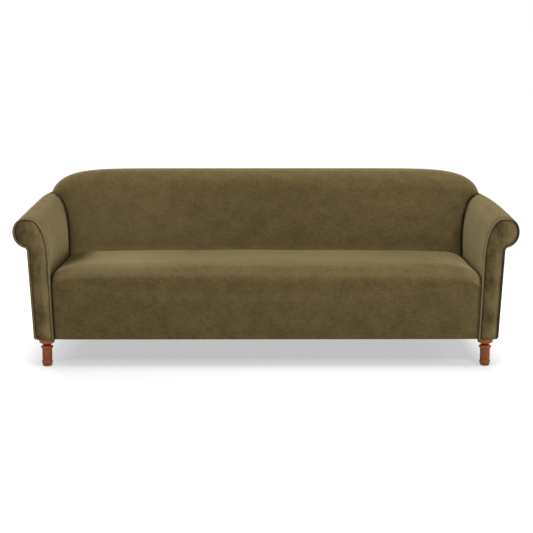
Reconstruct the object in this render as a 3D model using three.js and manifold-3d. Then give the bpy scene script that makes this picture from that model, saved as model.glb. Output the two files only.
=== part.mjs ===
// A three-seat sofa with English roll arms, a tight seat and a tight arched back, in velvet on wooden legs.
// Millimetres, +Z up. The sofa faces -Y, and the origin is on the floor under the middle of it.
// It is built as an upholsterer builds it: a glued hardwood frame, zigzag springs in the seat, foam over
// them, and sewn covers. Each piece is a separate closed solid with a small gap to its neighbours.
import * as THREE from "three";
import { mergeVertices } from "three/addons/utils/BufferGeometryUtils.js";
import Module from "manifold-3d";

const wasm = await Module();
wasm.setup();

// Sizes of the whole sofa
const overallWidth = 2120;
const undersideHeight = 122; // floor to the lower edge of the covers
const seatHeight = 435; // floor to the crown of the seat
const seatDepth = 580; // front of the arms to the inside back, at seat height
const armHeight = 634; // floor to the top of the arm roll, at the front
const armRise = 42; // climb of the arm roll from the front to the inside back
const armRiseEase = 1.8; // above 1, the roll climbs faster at the front than at the back
const backAboveArm = 119; // crest of the back above the arm roll beside it
const backThickness = 156; // at the top of the outside back
const backRecline = 16.4; // degrees, inside back
const rearRecline = 3.4; // degrees, outside back

// Cloth, foam and the clearance between neighbouring pieces
const fabric = 2.5; // velvet with its wadding
const armPadThickness = 8.5;
const backPadThickness = 90;
const gap = 0.3;

// Arms
const rollRadius = 62;
const neckFillet = 17; // under the overhang of the roll
const neckOffset = 5; // the neck stands outside the centre of the roll
const shoulderDrop = 219; // top of the roll down to where the inner face runs straight
const shoulderPower = 2.3; // roundness of the inner shoulder
const innerFlare = 12; // lean of the inner face from the lower edge to the shoulder
const outerFlare = 21; // lean of the outer face from the lower edge to the neck
const postThickness = 18;
const armBoardWidth = 75;
const armBoardThickness = 28;
const armBoardDrop = 15; // board centre below the centre of the roll
const armBoardLap = 20; // overlap of the board and the back post
const tackRailThickness = 22;
const tackRailHeight = 50;
const tackRailAboveDeck = 14;

// Front panels of the arms
const facingThickness = 8;
const facingBevel = 3.5;
const pipingRadius = 4.5;
const pipingProud = 2; // stands this far outside the arm

// Seat
const seatProud = 10; // front of the seat in front of the arm panels
const seatSideTuck = 14; // the front draws back this far beside the arms
const seatSideDrop = 44; // the crown falls this far beside the arms
const seatSidePower = 7;
const seatFrontRise = 66; // height of the rounded front edge
const seatFrontRun = 84; // depth of the rounded front edge
const seatCornerRise = 16; // and as much again beside the arms
const seatCornerRun = 60;
const seatFrontPower = 2.4;
const seatRearFall = 8;
const seatFaceBulge = 5;
const seatLowerRadius = 8;
const coverReturn = 36; // turned under the front rail
const seatPadding = 163.2; // crown of the seat to the top of the front rail

// Back
const shoulderOverhang = 4; // ends of the arch outside the centre of the roll
const shoulderSink = 6; // ends of the arch below the top of the roll
const archPowerAcross = 10;
const archPowerUp = 1.95;
const crestFrontRise = 62;
const crestFrontPower = 2.2;
const crestRearRise = 35;
const crestRearRun = 44;
const lumbarBulge = 12;

// Frame
const sideRailWidth = 46;
const sideRailHeight = 88;
const railThickness = 28;
const stretcherDrop = 59; // top of a stretcher below the top of the front rail
const stretcherOffset = 300;
const cornerBlockLeg = 90;
const cornerBlockHeight = 60;
const backRailThickness = 25;
const backBottomRailHeight = 88;
const backTackRailThickness = 25;
const backTackRailHeight = 50;
const backTopRailDepth = 100; // lower edge of the top rail below the lowest point of its arch
const uprightThickness = 25;
const uprightOffset = 310;
const supportPanelThickness = 4;
const rearSpringRailSetback = 70; // behind the inside back, at seat height

// Seat springs
const springCount = 10;
const springWireRadius = 1.9;
const springHalfWidth = 25;
const springTip = 9; // the pointed end of each bend
const springBendCount = 17;
const springEndInset = 12; // from the edge of each rail
const springSideMargin = 62;
const insulatorThickness = 6;

// Underside and legs
const dustCoverThickness = 0.8;
const dustCoverMargin = 5; // round each leg
const dustCoverLap = 30; // tacked to the underside of the side rails
const legTopInset = 4.5; // from the inner side of the cloth
const legOffset = 6; // inwards from the middle of the arm panel
const legFrontMargin = 3;
const boltRadius = 4;
const boltInLeg = 40;
const boltInRail = 58;
const rearLegTop = 50;
const rearLegBottom = 32;
const rearLegRake = 24;
const rearLegSetting = 14; // rear face of the leg to the outside back

// Levels up from the floor
const wrap = fabric + gap; // cloth and the gap behind it
const frameBottom = undersideHeight + wrap;
const sideRailTop = frameBottom + sideRailHeight;
const springRailTop = seatHeight - seatPadding;
const springLevel = springRailTop + gap + springWireRadius;
const insulatorBottom = springLevel + springWireRadius + gap;
const seatFoamBottom = insulatorBottom + insulatorThickness + gap;
const backBottom = seatFoamBottom + insulatorThickness;
const armTuckHeight = springRailTop + insulatorThickness;
const armRearTop = armHeight + armRise;
const archFoot = armRearTop - shoulderSink;
const archHeight = backAboveArm + shoulderSink;
const overallHeight = armRearTop + backAboveArm;

// Places across the sofa, for its right side
const rollCentreX = overallWidth / 2 - pipingProud - rollRadius;
const armNeckX = rollCentreX + neckOffset;
const armOuterBottomX = armNeckX - outerFlare;
const sideRailOuterX = armOuterBottomX - wrap - armPadThickness - gap;
const sideRailInnerX = sideRailOuterX - sideRailWidth;
const armShoulderX = sideRailInnerX - gap - armPadThickness - wrap;
const armInnerBottomX = armShoulderX - innerFlare;
const armBottomWidth = armOuterBottomX - armInnerBottomX;
const frameEndX = sideRailInnerX - gap; // ends of the rails that run between the side rails
const archHalfWidth = rollCentreX + shoulderOverhang;
const shoulderHeight = armHeight - shoulderDrop;

// Places from front to back
const rearTopHeight = overallHeight - crestRearRise;
const reclineSlope = Math.tan(THREE.MathUtils.degToRad(backRecline));
const rearSlope = Math.tan(THREE.MathUtils.degToRad(rearRecline));
const reclineRun = (rearTopHeight - seatHeight) * reclineSlope;
const overallDepth = seatProud + seatDepth + reclineRun + backThickness;
const facingFrontY = seatProud - overallDepth / 2;
const facingBackY = facingFrontY + facingThickness;
const postFrontY = facingBackY + gap;
const postBackY = postFrontY + postThickness;
const frameFrontY = postBackY + gap;
const armLevelY = facingFrontY + seatDepth; // the roll runs level behind this
const rearSpringRailY = armLevelY + rearSpringRailSetback;

const backFrontY = (z) => armLevelY + (z - seatHeight) * reclineSlope;
const rearY = (z) => overallDepth / 2 - (rearTopHeight - z) * rearSlope;
const frameRearY = (z) => rearY(z) - wrap;
const supportY = (z) => backFrontY(z) + backPadThickness + gap; // front of the panel behind the back foam
const frameSupportY = (z) => supportY(z) + supportPanelThickness + gap;
function climbAt(y) {
  const left = THREE.MathUtils.clamp((armLevelY - y) / seatDepth, 0, 1);
  return armRise * (1 - left ** armRiseEase);
}

const velvet = { color: 0x6b5c3c, roughness: 0.95, metalness: 0 };
const foamYellow = { color: 0xe8dcae, roughness: 1, metalness: 0 };
const beech = { color: 0xc9a274, roughness: 0.7, metalness: 0 };
const plywood = { color: 0xd2b48c, roughness: 0.8, metalness: 0 };
const stainedWood = { color: 0x7c4526, roughness: 0.4, metalness: 0 };
const springSteel = { color: 0x8a8d91, roughness: 0.4, metalness: 1 };
const felt = { color: 0x8b8680, roughness: 1, metalness: 0 };
const blackCloth = { color: 0x202020, roughness: 1, metalness: 0 };

const sofa = new THREE.Group();
const rightSide = new THREE.Group();
const leftSide = new THREE.Group();
leftSide.scale.x = -1;
sofa.add(rightSide, leftSide);

function addPiece(name, geometry, finish, parent = sofa) {
  const mesh = new THREE.Mesh(
    geometry,
    new THREE.MeshStandardMaterial(finish),
  );
  mesh.name = name;
  parent.add(mesh);
  return mesh;
}

// The same piece on both sides, modelled on the right
function addPair(name, geometry, finish) {
  addPiece(name + "_right", geometry, finish, rightSide);
  addPiece(name + "_left", geometry, finish, leftSide);
}

// Geometry helpers

function signedVolume(points, faces) {
  let sum = 0;
  for (const [a, b, c] of faces)
    sum += points[a].dot(new THREE.Vector3().crossVectors(points[b], points[c]));
  return sum;
}

// A closed geometry from corner points and triangles, with its faces turned out
function closedGeometry(points, faces) {
  const turned =
    signedVolume(points, faces) < 0 ? faces.map(([a, b, c]) => [a, c, b]) : faces;
  const geometry = new THREE.BufferGeometry().setFromPoints(points);
  geometry.setIndex(turned.flat());
  geometry.computeVertexNormals();
  return geometry;
}

function quad(faces, a, b, c, d) {
  faces.push([a, b, c], [a, c, d]);
}

// A sheet between two grids of points, rows[i][j], closed along its four edges
function sheetBetween(outer, inner) {
  const rows = outer.length;
  const columns = outer[0].length;
  const points = [...outer.flat(), ...inner.flat()];
  const faces = [];
  const out = (i, j) => i * columns + j;
  const back = (i, j) => rows * columns + i * columns + j;
  for (let i = 0; i < rows - 1; i++)
    for (let j = 0; j < columns - 1; j++) {
      quad(faces, out(i, j), out(i, j + 1), out(i + 1, j + 1), out(i + 1, j));
      quad(faces, back(i, j), back(i + 1, j), back(i + 1, j + 1), back(i, j + 1));
    }
  for (let j = 0; j < columns - 1; j++) {
    quad(faces, out(0, j), back(0, j), back(0, j + 1), out(0, j + 1));
    const last = rows - 1;
    quad(faces, out(last, j), out(last, j + 1), back(last, j + 1), back(last, j));
  }
  for (let i = 0; i < rows - 1; i++) {
    quad(faces, out(i, 0), out(i + 1, 0), back(i + 1, 0), back(i, 0));
    const last = columns - 1;
    quad(faces, out(i, last), back(i, last), back(i + 1, last), out(i + 1, last));
  }
  return closedGeometry(points, faces);
}

// The walls between rings of points, each ring closed
function wallsBetween(rings) {
  const count = rings[0].length;
  const faces = [];
  for (let i = 0; i < rings.length - 1; i++)
    for (let j = 0; j < count; j++) {
      const next = (j + 1) % count;
      quad(
        faces,
        i * count + j,
        i * count + next,
        (i + 1) * count + next,
        (i + 1) * count + j,
      );
    }
  return faces;
}

// A solid through rings of points, capped at both ends. flatten gives a point in a ring's plane.
function loftRings(rings, flatten) {
  const faces = wallsBetween(rings);
  const lastStart = (rings.length - 1) * rings[0].length;
  const clockwise = THREE.ShapeUtils.isClockWise(rings[0].map(flatten));
  const capOf = (ring) =>
    THREE.ShapeUtils.triangulateShape(ring.map(flatten), []);
  for (const [a, b, c] of capOf(rings[0]))
    faces.push(clockwise ? [a, b, c] : [a, c, b]);
  for (const [a, b, c] of capOf(rings[rings.length - 1]))
    faces.push(
      clockwise
        ? [lastStart + a, lastStart + c, lastStart + b]
        : [lastStart + a, lastStart + b, lastStart + c],
    );
  return closedGeometry(rings.flat(), faces);
}

// A tube through rings of points, each end closed by a fan
function loftTube(rings) {
  const count = rings[0].length;
  const faces = wallsBetween(rings);
  const last = (rings.length - 1) * count;
  for (let j = 1; j < count - 1; j++) {
    faces.push([0, j + 1, j]);
    faces.push([last, last + j, last + j + 1]);
  }
  return closedGeometry(rings.flat(), faces);
}

const inXY = (p) => new THREE.Vector2(p.x, p.y);
const inXZ = (p) => new THREE.Vector2(p.x, p.z);
const inYZ = (p) => new THREE.Vector2(p.y, p.z);

function boxBetween(low, high) {
  const size = new THREE.Vector3().subVectors(high, low);
  const geometry = new THREE.BoxGeometry(size.x, size.y, size.z);
  const centre = new THREE.Vector3().addVectors(low, high).divideScalar(2);
  return geometry.translate(centre.x, centre.y, centre.z);
}

const box = (x0, x1, y0, y1, z0, z1) =>
  boxBetween(new THREE.Vector3(x0, y0, z0), new THREE.Vector3(x1, y1, z1));

// A board of even width across the sofa, with corners [y, z] for its outline
function boardAcross(x0, x1, corners) {
  const ringAt = (x) => corners.map(([y, z]) => new THREE.Vector3(x, y, z));
  return loftRings([ringAt(x0), ringAt(x1)], inYZ);
}

function solidOf(geometry) {
  const bare = geometry.index ? geometry.toNonIndexed() : geometry.clone();
  bare.deleteAttribute("normal");
  bare.deleteAttribute("uv");
  const merged = mergeVertices(bare);
  return new wasm.Manifold(
    new wasm.Mesh({
      numProp: 3,
      vertProperties: merged.attributes.position.array,
      triVerts: new Uint32Array(merged.index.array),
    }),
  );
}

function geometryOf(solid) {
  const mesh = solid.getMesh();
  const geometry = new THREE.BufferGeometry();
  geometry.setAttribute(
    "position",
    new THREE.BufferAttribute(new Float32Array(mesh.vertProperties), 3),
  );
  geometry.setIndex(new THREE.BufferAttribute(mesh.triVerts, 1));
  geometry.computeVertexNormals();
  return geometry;
}

function cut(geometry, ...tools) {
  let solid = solidOf(geometry);
  for (const tool of tools) solid = solid.subtract(solidOf(tool));
  return geometryOf(solid);
}

function mirrored(geometry) {
  const copy = geometry.index ? geometry.toNonIndexed() : geometry.clone();
  copy.scale(-1, 1, 1);
  const place = copy.attributes.position;
  for (let i = 0; i < place.count; i += 3) {
    const second = new THREE.Vector3().fromBufferAttribute(place, i + 1);
    const third = new THREE.Vector3().fromBufferAttribute(place, i + 2);
    place.setXYZ(i + 1, third.x, third.y, third.z);
    place.setXYZ(i + 2, second.x, second.y, second.z);
  }
  return copy;
}

// A vertical round bar or bore between two heights
function uprightCylinder(x, y, z0, z1, radius, sides) {
  const geometry = new THREE.CylinderGeometry(radius, radius, z1 - z0, sides);
  return geometry.rotateX(Math.PI / 2).translate(x, y, (z0 + z1) / 2);
}

// Arm outline, in the XZ plane, for the right arm

// The outline from the inner lower edge over the roll to the outer lower edge. climb lifts the roll, and
// startHeight is where the inner face begins.
function armOutline(climb, startHeight) {
  const centreZ = armHeight + climb - rollRadius;
  const reach = rollCentreX - armShoulderX;
  const height = armHeight + climb - shoulderHeight;
  const startShare =
    (startHeight - undersideHeight) / (shoulderHeight - undersideHeight);
  const points = [
    [armInnerBottomX + innerFlare * startShare, startHeight],
    [armShoulderX, shoulderHeight],
  ];
  const shoulderSteps = 9;
  for (let i = 1; i <= shoulderSteps; i++) {
    const angle = ((i / shoulderSteps) * Math.PI) / 2;
    points.push([
      rollCentreX - reach * Math.cos(angle) ** (2 / shoulderPower),
      shoulderHeight + height * Math.sin(angle) ** (2 / shoulderPower),
    ]);
  }
  // The fillet touches the roll where the line between their centres crosses it.
  const filletAside = neckFillet + neckOffset;
  const filletDrop = Math.sqrt((rollRadius + neckFillet) ** 2 - filletAside ** 2);
  const meetAngle = Math.atan2(-filletDrop, filletAside);
  const rollSteps = 12;
  for (let i = 1; i <= rollSteps; i++) {
    const angle = Math.PI / 2 + (i / rollSteps) * (meetAngle - Math.PI / 2);
    points.push([
      rollCentreX + rollRadius * Math.cos(angle),
      centreZ + rollRadius * Math.sin(angle),
    ]);
  }
  const filletSteps = 4;
  const filletStart = Math.PI + meetAngle;
  for (let i = 1; i <= filletSteps; i++) {
    const angle = filletStart + (i / filletSteps) * (Math.PI - filletStart);
    points.push([
      rollCentreX + filletAside + neckFillet * Math.cos(angle),
      centreZ - filletDrop + neckFillet * Math.sin(angle),
    ]);
  }
  points.push([armOuterBottomX, undersideHeight]);
  return points;
}

// The outline drawn in by an even distance. It runs with the arm on its right, so inwards is to the right.
function insetOutline(points, inset) {
  const edgeNormal = ([x0, z0], [x1, z1]) =>
    new THREE.Vector2(z1 - z0, x0 - x1).normalize();
  return points.map(([x, z], i) => {
    const before = i > 0 ? edgeNormal(points[i - 1], points[i]) : null;
    const after =
      i < points.length - 1 ? edgeNormal(points[i], points[i + 1]) : null;
    if (!before || !after) {
      const end = before ?? after;
      return [x + inset / end.x, z];
    }
    const mitre = before.clone().add(after).divideScalar(1 + before.dot(after));
    return [x + inset * mitre.x, z + inset * mitre.y];
  });
}

// Places along the arm, as shares of the way from the front to where the roll runs level
const armShares = [0.25, 0.5, 0.75];

// Rows of points along the arm, from a front place to a rear place that may lean
function armRows(frontY, rearAt, inset, startHeight, finishRing = (ring) => ring) {
  const ringAt = (climb, yAt) =>
    finishRing(insetOutline(armOutline(climb, startHeight), inset), climb).map(
      ([x, z]) => new THREE.Vector3(x, yAt(z), z),
    );
  const middle = armShares.map((share) => frontY + share * (armLevelY - frontY));
  return [
    ...[frontY, ...middle, armLevelY].map((y) => ringAt(climbAt(y), () => y)),
    ringAt(armRise, rearAt),
  ];
}

// Everything that the arm takes from the back: the arm itself and all that is under it and outside it
function armRoom(clearance) {
  const overrun = backPadThickness;
  const farX = overallWidth / 2 + overrun;
  const closeRing = (points) => {
    const top = points.filter(([x, z]) => z > shoulderHeight || x < rollCentreX);
    const reach = top.findIndex(([x]) => x > archHalfWidth + shoulderOverhang);
    const kept = top.slice(0, reach + 1);
    const last = kept[kept.length - 1];
    return [
      ...kept,
      [farX, last[1]],
      [farX, undersideHeight],
      [kept[0][0], undersideHeight],
    ];
  };
  const rings = armRows(
    facingFrontY,
    (z) => rearY(z) + overrun,
    -clearance,
    undersideHeight + gap,
    closeRing,
  );
  return loftRings(rings, inXZ);
}

// What is cut from the arm's cover and pad for the back frame: all behind the back's support
function backFrameRoom() {
  const overrun = armPadThickness;
  const low = undersideHeight - overrun;
  const high = overallHeight + overrun;
  return boardAcross(armShoulderX - innerFlare - overrun, sideRailOuterX + gap, [
    [frameSupportY(backBottom) - gap, low],
    [frameSupportY(backBottom) - gap, backBottom],
    [frameSupportY(high) - gap, high],
    [overallDepth, high],
    [overallDepth, low],
  ]);
}

// Frame: side rails, with the bores that the leg bolts turn into

const legTopRadius = armBottomWidth / 2 - fabric - legTopInset;
const legX = (armInnerBottomX + armOuterBottomX) / 2 - legOffset;
const frontLegY = facingBackY + gap + legFrontMargin + legTopRadius;
const rearLegY = rearY(undersideHeight) - rearLegSetting - rearLegTop / 2;
const boreRadius = boltRadius + gap;
const boreSides = 16;
const overcut = 1;

const boltBore = (y) =>
  uprightCylinder(
    legX,
    y,
    frameBottom - overcut,
    frameBottom + boltInRail + gap,
    boreRadius,
    boreSides,
  );

addPair(
  "side_rail",
  cut(
    box(
      sideRailInnerX,
      sideRailOuterX,
      frameFrontY,
      frameRearY(frameBottom),
      frameBottom,
      sideRailTop,
    ),
    boltBore(frontLegY),
    boltBore(rearLegY),
  ),
  beech,
);

// Frame: rails and stretchers of the seat, and the glued corner blocks

const frontRailBackY = frameFrontY + railThickness;
const rearSpringRailBackY = rearSpringRailY + railThickness;

addPiece(
  "front_rail",
  box(-frameEndX, frameEndX, frameFrontY, frontRailBackY, frameBottom, springRailTop),
  beech,
);
addPiece(
  "rear_spring_rail",
  box(
    -frameEndX,
    frameEndX,
    rearSpringRailY,
    rearSpringRailBackY,
    frameBottom,
    springRailTop,
  ),
  beech,
);
addPair(
  "seat_stretcher",
  box(
    stretcherOffset - railThickness / 2,
    stretcherOffset + railThickness / 2,
    frontRailBackY + gap,
    rearSpringRailY - gap,
    frameBottom,
    springRailTop - stretcherDrop,
  ),
  beech,
);

function cornerBlock(cornerY, towards) {
  const ringAt = (z) => [
    new THREE.Vector3(frameEndX, cornerY, z),
    new THREE.Vector3(frameEndX, cornerY + towards * cornerBlockLeg, z),
    new THREE.Vector3(frameEndX - cornerBlockLeg, cornerY, z),
  ];
  return loftRings(
    [ringAt(frameBottom), ringAt(frameBottom + cornerBlockHeight)],
    inXY,
  );
}

addPair("front_corner_block", cornerBlock(frontRailBackY + gap, 1), beech);
addPair("rear_corner_block", cornerBlock(rearSpringRailY - gap, -1), beech);

// Frame: the scroll-shaped front post of each arm

function postRing(y) {
  const outline = insetOutline(armOutline(climbAt(y), undersideHeight), wrap);
  const lifted = outline.map(([x, z]) => [x, Math.max(z, frameBottom)]);
  return lifted.map(([x, z]) => new THREE.Vector3(x, y, z));
}

addPair(
  "arm_front_post",
  loftRings([postRing(postFrontY), postRing(postBackY)], inXZ),
  plywood,
);

// Frame: the post at the back of each arm, which stands on the side rail

const archTopAt = (x) =>
  archFoot +
  archHeight *
    (1 - Math.min(1, Math.abs(x) / archHalfWidth) ** archPowerAcross) **
      (1 / archPowerUp);
const backShares = [0, 0.25, 0.5, 0.7, 0.82, 0.89, 0.935, 0.965, 0.985, 0.996, 1];
const bothSides = (shares) => [
  ...shares.slice(1).reverse().map((share) => -share),
  ...shares,
];
const backPlaces = bothSides(backShares).map((share) => share * archHalfWidth);

// The line that the crest's foam rests on, straight between the places of the back's loft
const restAt = (x) => archTopAt(x) - crestRearRise;
function restBetween(x) {
  const next = backPlaces.findIndex((place) => place >= x);
  const [before, after] = [backPlaces[next - 1], backPlaces[next]];
  return THREE.MathUtils.mapLinear(x, before, after, restAt(before), restAt(after));
}
const backPostTop = restBetween(sideRailOuterX) - gap;
const backPostFoot = sideRailTop + gap;

addPair(
  "back_post",
  boardAcross(sideRailInnerX, sideRailOuterX, [
    [frameSupportY(backBottom), backPostFoot],
    [frameSupportY(backBottom), backBottom],
    [frameSupportY(backPostTop), backPostTop],
    [frameRearY(backPostTop), backPostTop],
    [frameRearY(backPostFoot), backPostFoot],
  ]),
  plywood,
);

// Frame: the sloping board inside each arm roll, and the rail that the inside arm cover is tacked to

const armBoardInnerX = sideRailOuterX - armBoardLap;
const armBoardOuterX = armBoardInnerX + armBoardWidth;

function armBoardRings(clearance, endOverrun) {
  const ringAt = (yAt, climb) => {
    const middle = armHeight + climb - rollRadius - armBoardDrop;
    const half = armBoardThickness / 2 + clearance;
    return [
      [armBoardInnerX - clearance, middle - half],
      [armBoardOuterX + clearance, middle - half],
      [armBoardOuterX + clearance, middle + half],
      [armBoardInnerX - clearance, middle + half],
    ].map(([x, z]) => new THREE.Vector3(x, yAt(z), z));
  };
  const frontY = frameFrontY - endOverrun;
  const middle = armShares.map((share) => frameFrontY + share * (armLevelY - frameFrontY));
  return [
    ...[frontY, ...middle, armLevelY].map((y) => ringAt(() => y, climbAt(y))),
    ringAt((z) => frameSupportY(z) - gap + endOverrun, armRise),
  ];
}

addPair("arm_top_board", loftRings(armBoardRings(0, 0), inXZ), beech);

const armTackRailBottom = armTuckHeight + tackRailAboveDeck;
const armTackRailTop = armTackRailBottom + tackRailHeight;
addPair(
  "arm_tack_rail",
  boardAcross(sideRailInnerX, sideRailInnerX + tackRailThickness, [
    [frameFrontY, armTackRailBottom],
    [frameFrontY, armTackRailTop],
    [frameSupportY(armTackRailTop) - gap, armTackRailTop],
    [frameSupportY(armTackRailBottom) - gap, armTackRailBottom],
  ]),
  beech,
);

// Frame: rails and uprights of the back

const topRailBottom = restBetween(frameEndX) - backTopRailDepth;
const topRailFrontY = (z) => frameRearY(z) - backRailThickness;

function topRailRing(depthAt) {
  const archPlaces = backPlaces.filter((x) => Math.abs(x) < frameEndX);
  const arch = [-frameEndX, ...archPlaces, frameEndX].map((x) => [
    x,
    restBetween(x) - gap,
  ]);
  return [[frameEndX, topRailBottom], [-frameEndX, topRailBottom], ...arch].map(
    ([x, z]) => new THREE.Vector3(x, depthAt(z), z),
  );
}

addPiece(
  "back_top_rail",
  loftRings([topRailRing(topRailFrontY), topRailRing(frameRearY)], inXZ),
  plywood,
);

const backTackRailFoot = backBottom + gap;
const backTackRailTop = backTackRailFoot + backTackRailHeight;
const backTackRail = (clearance, length) =>
  boardAcross(-length, length, [
    [frameSupportY(backTackRailFoot - clearance) - clearance, backTackRailFoot - clearance],
    [frameSupportY(backTackRailTop + clearance) - clearance, backTackRailTop + clearance],
    [
      frameSupportY(backTackRailTop + clearance) + backTackRailThickness + clearance,
      backTackRailTop + clearance,
    ],
    [
      frameSupportY(backTackRailFoot - clearance) + backTackRailThickness + clearance,
      backTackRailFoot - clearance,
    ],
  ]);

addPiece("back_tack_rail", backTackRail(0, frameEndX), beech);

const backBottomRailTop = frameBottom + backBottomRailHeight;
addPiece(
  "back_bottom_rail",
  boardAcross(-frameEndX, frameEndX, [
    [frameRearY(frameBottom) - railThickness, frameBottom],
    [frameRearY(frameBottom) - railThickness, backBottomRailTop],
    [frameRearY(backBottomRailTop), backBottomRailTop],
    [frameRearY(frameBottom), frameBottom],
  ]),
  beech,
);

const uprightFoot = backBottomRailTop + gap;
const uprightLowerY = rearSpringRailBackY + gap;
addPair(
  "back_upright",
  cut(
    boardAcross(
      uprightOffset - uprightThickness / 2,
      uprightOffset + uprightThickness / 2,
      [
        [uprightLowerY, uprightFoot],
        [uprightLowerY, backBottom],
        [frameSupportY(backBottom), backBottom],
        [frameSupportY(backPostTop), backPostTop],
        [topRailFrontY(backPostTop) - gap, backPostTop],
        [topRailFrontY(topRailBottom) - gap, topRailBottom - gap],
        [frameRearY(topRailBottom), topRailBottom - gap],
        [frameRearY(uprightFoot), uprightFoot],
      ],
    ),
    backTackRail(gap, frameEndX),
  ),
  plywood,
);

addPiece(
  "back_support_panel",
  boardAcross(-armInnerBottomX, armInnerBottomX, [
    [supportY(backBottom), backBottom],
    [supportY(backPostTop), backPostTop],
    [supportY(backPostTop) + supportPanelThickness, backPostTop],
    [supportY(backBottom) + supportPanelThickness, backBottom],
  ]),
  plywood,
);

// Seat springs: zigzag wire from the front rail to the rear spring rail

const springFrontY = frameFrontY + springEndInset;
const springRearY = rearSpringRailBackY - springEndInset;
const springPitch = (springRearY - springFrontY) / springBendCount;

function springGeometry(centreX) {
  const route = [new THREE.Vector2(centreX, springFrontY)];
  for (let k = 0; k < springBendCount; k++) {
    const side = k % 2 ? -1 : 1;
    const y = springFrontY + k * springPitch;
    const legEnd = springHalfWidth - springTip;
    route.push(new THREE.Vector2(centreX + side * legEnd, y));
    route.push(
      new THREE.Vector2(centreX + side * springHalfWidth, y + springPitch / 2),
    );
    route.push(new THREE.Vector2(centreX + side * legEnd, y + springPitch));
  }
  route.push(new THREE.Vector2(centreX, springRearY));
  const rings = route.map((place, i) => {
    const before = i > 0 ? place.clone().sub(route[i - 1]).normalize() : null;
    const after =
      i < route.length - 1
        ? route[i + 1].clone().sub(place).normalize()
        : null;
    const along = (before ?? after).clone().add(after ?? before).normalize();
    const stretch = 1 / along.dot(before ?? after);
    const across = new THREE.Vector2(-along.y, along.x);
    return [0, 1, 2, 3].map((quarter) => {
      const angle = (quarter * Math.PI) / 2;
      const aside = springWireRadius * Math.cos(angle) * stretch;
      return new THREE.Vector3(
        place.x + across.x * aside,
        place.y + across.y * aside,
        springLevel + springWireRadius * Math.sin(angle),
      );
    });
  });
  return loftTube(rings);
}

const springField = armInnerBottomX - springSideMargin;
for (let k = 0; k < springCount; k++) {
  const centreX = -springField + (2 * springField * k) / (springCount - 1);
  addPiece("seat_spring_" + (k + 1), springGeometry(centreX), springSteel);
}

// Seat: felt insulator over the springs, foam, and the one-piece cover

const seatClearance = pipingProud + 2 * gap;
const seatHalfWidthAt = (z) =>
  armShoulderX -
  seatClearance -
  innerFlare *
    (1 -
      THREE.MathUtils.clamp(
        (z - undersideHeight) / (shoulderHeight - undersideHeight),
        0,
        1,
      ));

addPiece(
  "spring_insulator",
  box(
    -seatHalfWidthAt(undersideHeight),
    seatHalfWidthAt(undersideHeight),
    frameFrontY,
    rearSpringRailBackY,
    insulatorBottom,
    insulatorBottom + insulatorThickness,
  ),
  felt,
);

// How far the crown of the seat has fallen at a share of its half width: 0 in the middle, 1 at the arm
const sideFall = (share) =>
  1 - (1 - Math.abs(share) ** seatSidePower) ** (1 / seatSidePower);

// Front and top of the seat as [y, z], drawn in by an even depth, from the lower front to the inside back
function seatProfile(share, inset) {
  const fall = sideFall(share);
  const frontY = facingFrontY - seatProud + seatSideTuck * fall + inset;
  const topZ = seatHeight - seatSideDrop * fall - inset;
  const lowZ = undersideHeight + inset;
  const lowRadius = seatLowerRadius - inset;
  const faceTop = topZ - seatFrontRise - seatCornerRise * fall + inset;
  const points = [[frontY + lowRadius, lowZ]];
  const faceSteps = 4;
  for (let i = 0; i <= faceSteps; i++) {
    const along = i / faceSteps;
    const bulge = seatFaceBulge * (1 - Math.sin(along * Math.PI));
    points.push([
      frontY + bulge * (1 - fall),
      lowZ + lowRadius + along * (faceTop - lowZ - lowRadius),
    ]);
  }
  const edgeStartY = frontY + seatFaceBulge * (1 - fall);
  const edgeRun = seatFrontRun + seatCornerRun * fall - inset;
  const edgeSteps = 6;
  for (let i = 1; i <= edgeSteps; i++) {
    const angle = ((i / edgeSteps) * Math.PI) / 2;
    points.push([
      edgeStartY + edgeRun * (1 - Math.cos(angle) ** (2 / seatFrontPower)),
      faceTop + (topZ - faceTop) * Math.sin(angle) ** (2 / seatFrontPower),
    ]);
  }
  const rearZ = topZ - seatRearFall * (1 - fall);
  const rearTopY = backFrontY(rearZ) - fabric;
  const crestY = edgeStartY + edgeRun;
  const topSteps = 4;
  for (let i = 1; i <= topSteps; i++) {
    const along = i / topSteps;
    points.push([
      crestY + along * (rearTopY - crestY),
      topZ + (rearZ - topZ) * along ** 2,
    ]);
  }
  return points;
}

const seatShares = [0, 0.3, 0.55, 0.75, 0.88, 0.95, 0.985, 1];

const seatRow = (share, profile, inset) =>
  profile.map(
    ([y, z]) => new THREE.Vector3(share * (seatHalfWidthAt(z) - inset), y, z),
  );

function seatCoverRow(share, inset) {
  const profile = seatProfile(share, inset);
  const turnedUnder = [
    facingFrontY + seatSideTuck + coverReturn,
    undersideHeight + inset,
  ];
  return seatRow(share, [turnedUnder, ...profile], inset);
}

addPiece(
  "seat_cover",
  sheetBetween(
    bothSides(seatShares).map((share) => seatCoverRow(share, 0)),
    bothSides(seatShares).map((share) => seatCoverRow(share, fabric)),
  ),
  velvet,
);

function seatFoamRow(share) {
  const profile = seatProfile(share, wrap);
  return seatRow(
    share,
    [
      ...profile,
      [backFrontY(seatFoamBottom) - fabric, seatFoamBottom],
      [frameFrontY - gap, seatFoamBottom],
      [frameFrontY - gap, frameBottom],
    ],
    wrap,
  );
}

addPiece(
  "seat_foam",
  loftRings(bothSides(seatShares).map(seatFoamRow), inYZ),
  foamYellow,
);

// Back: foam and cover share one profile, [y, z] from the lower front over the crest to the outside back

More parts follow.
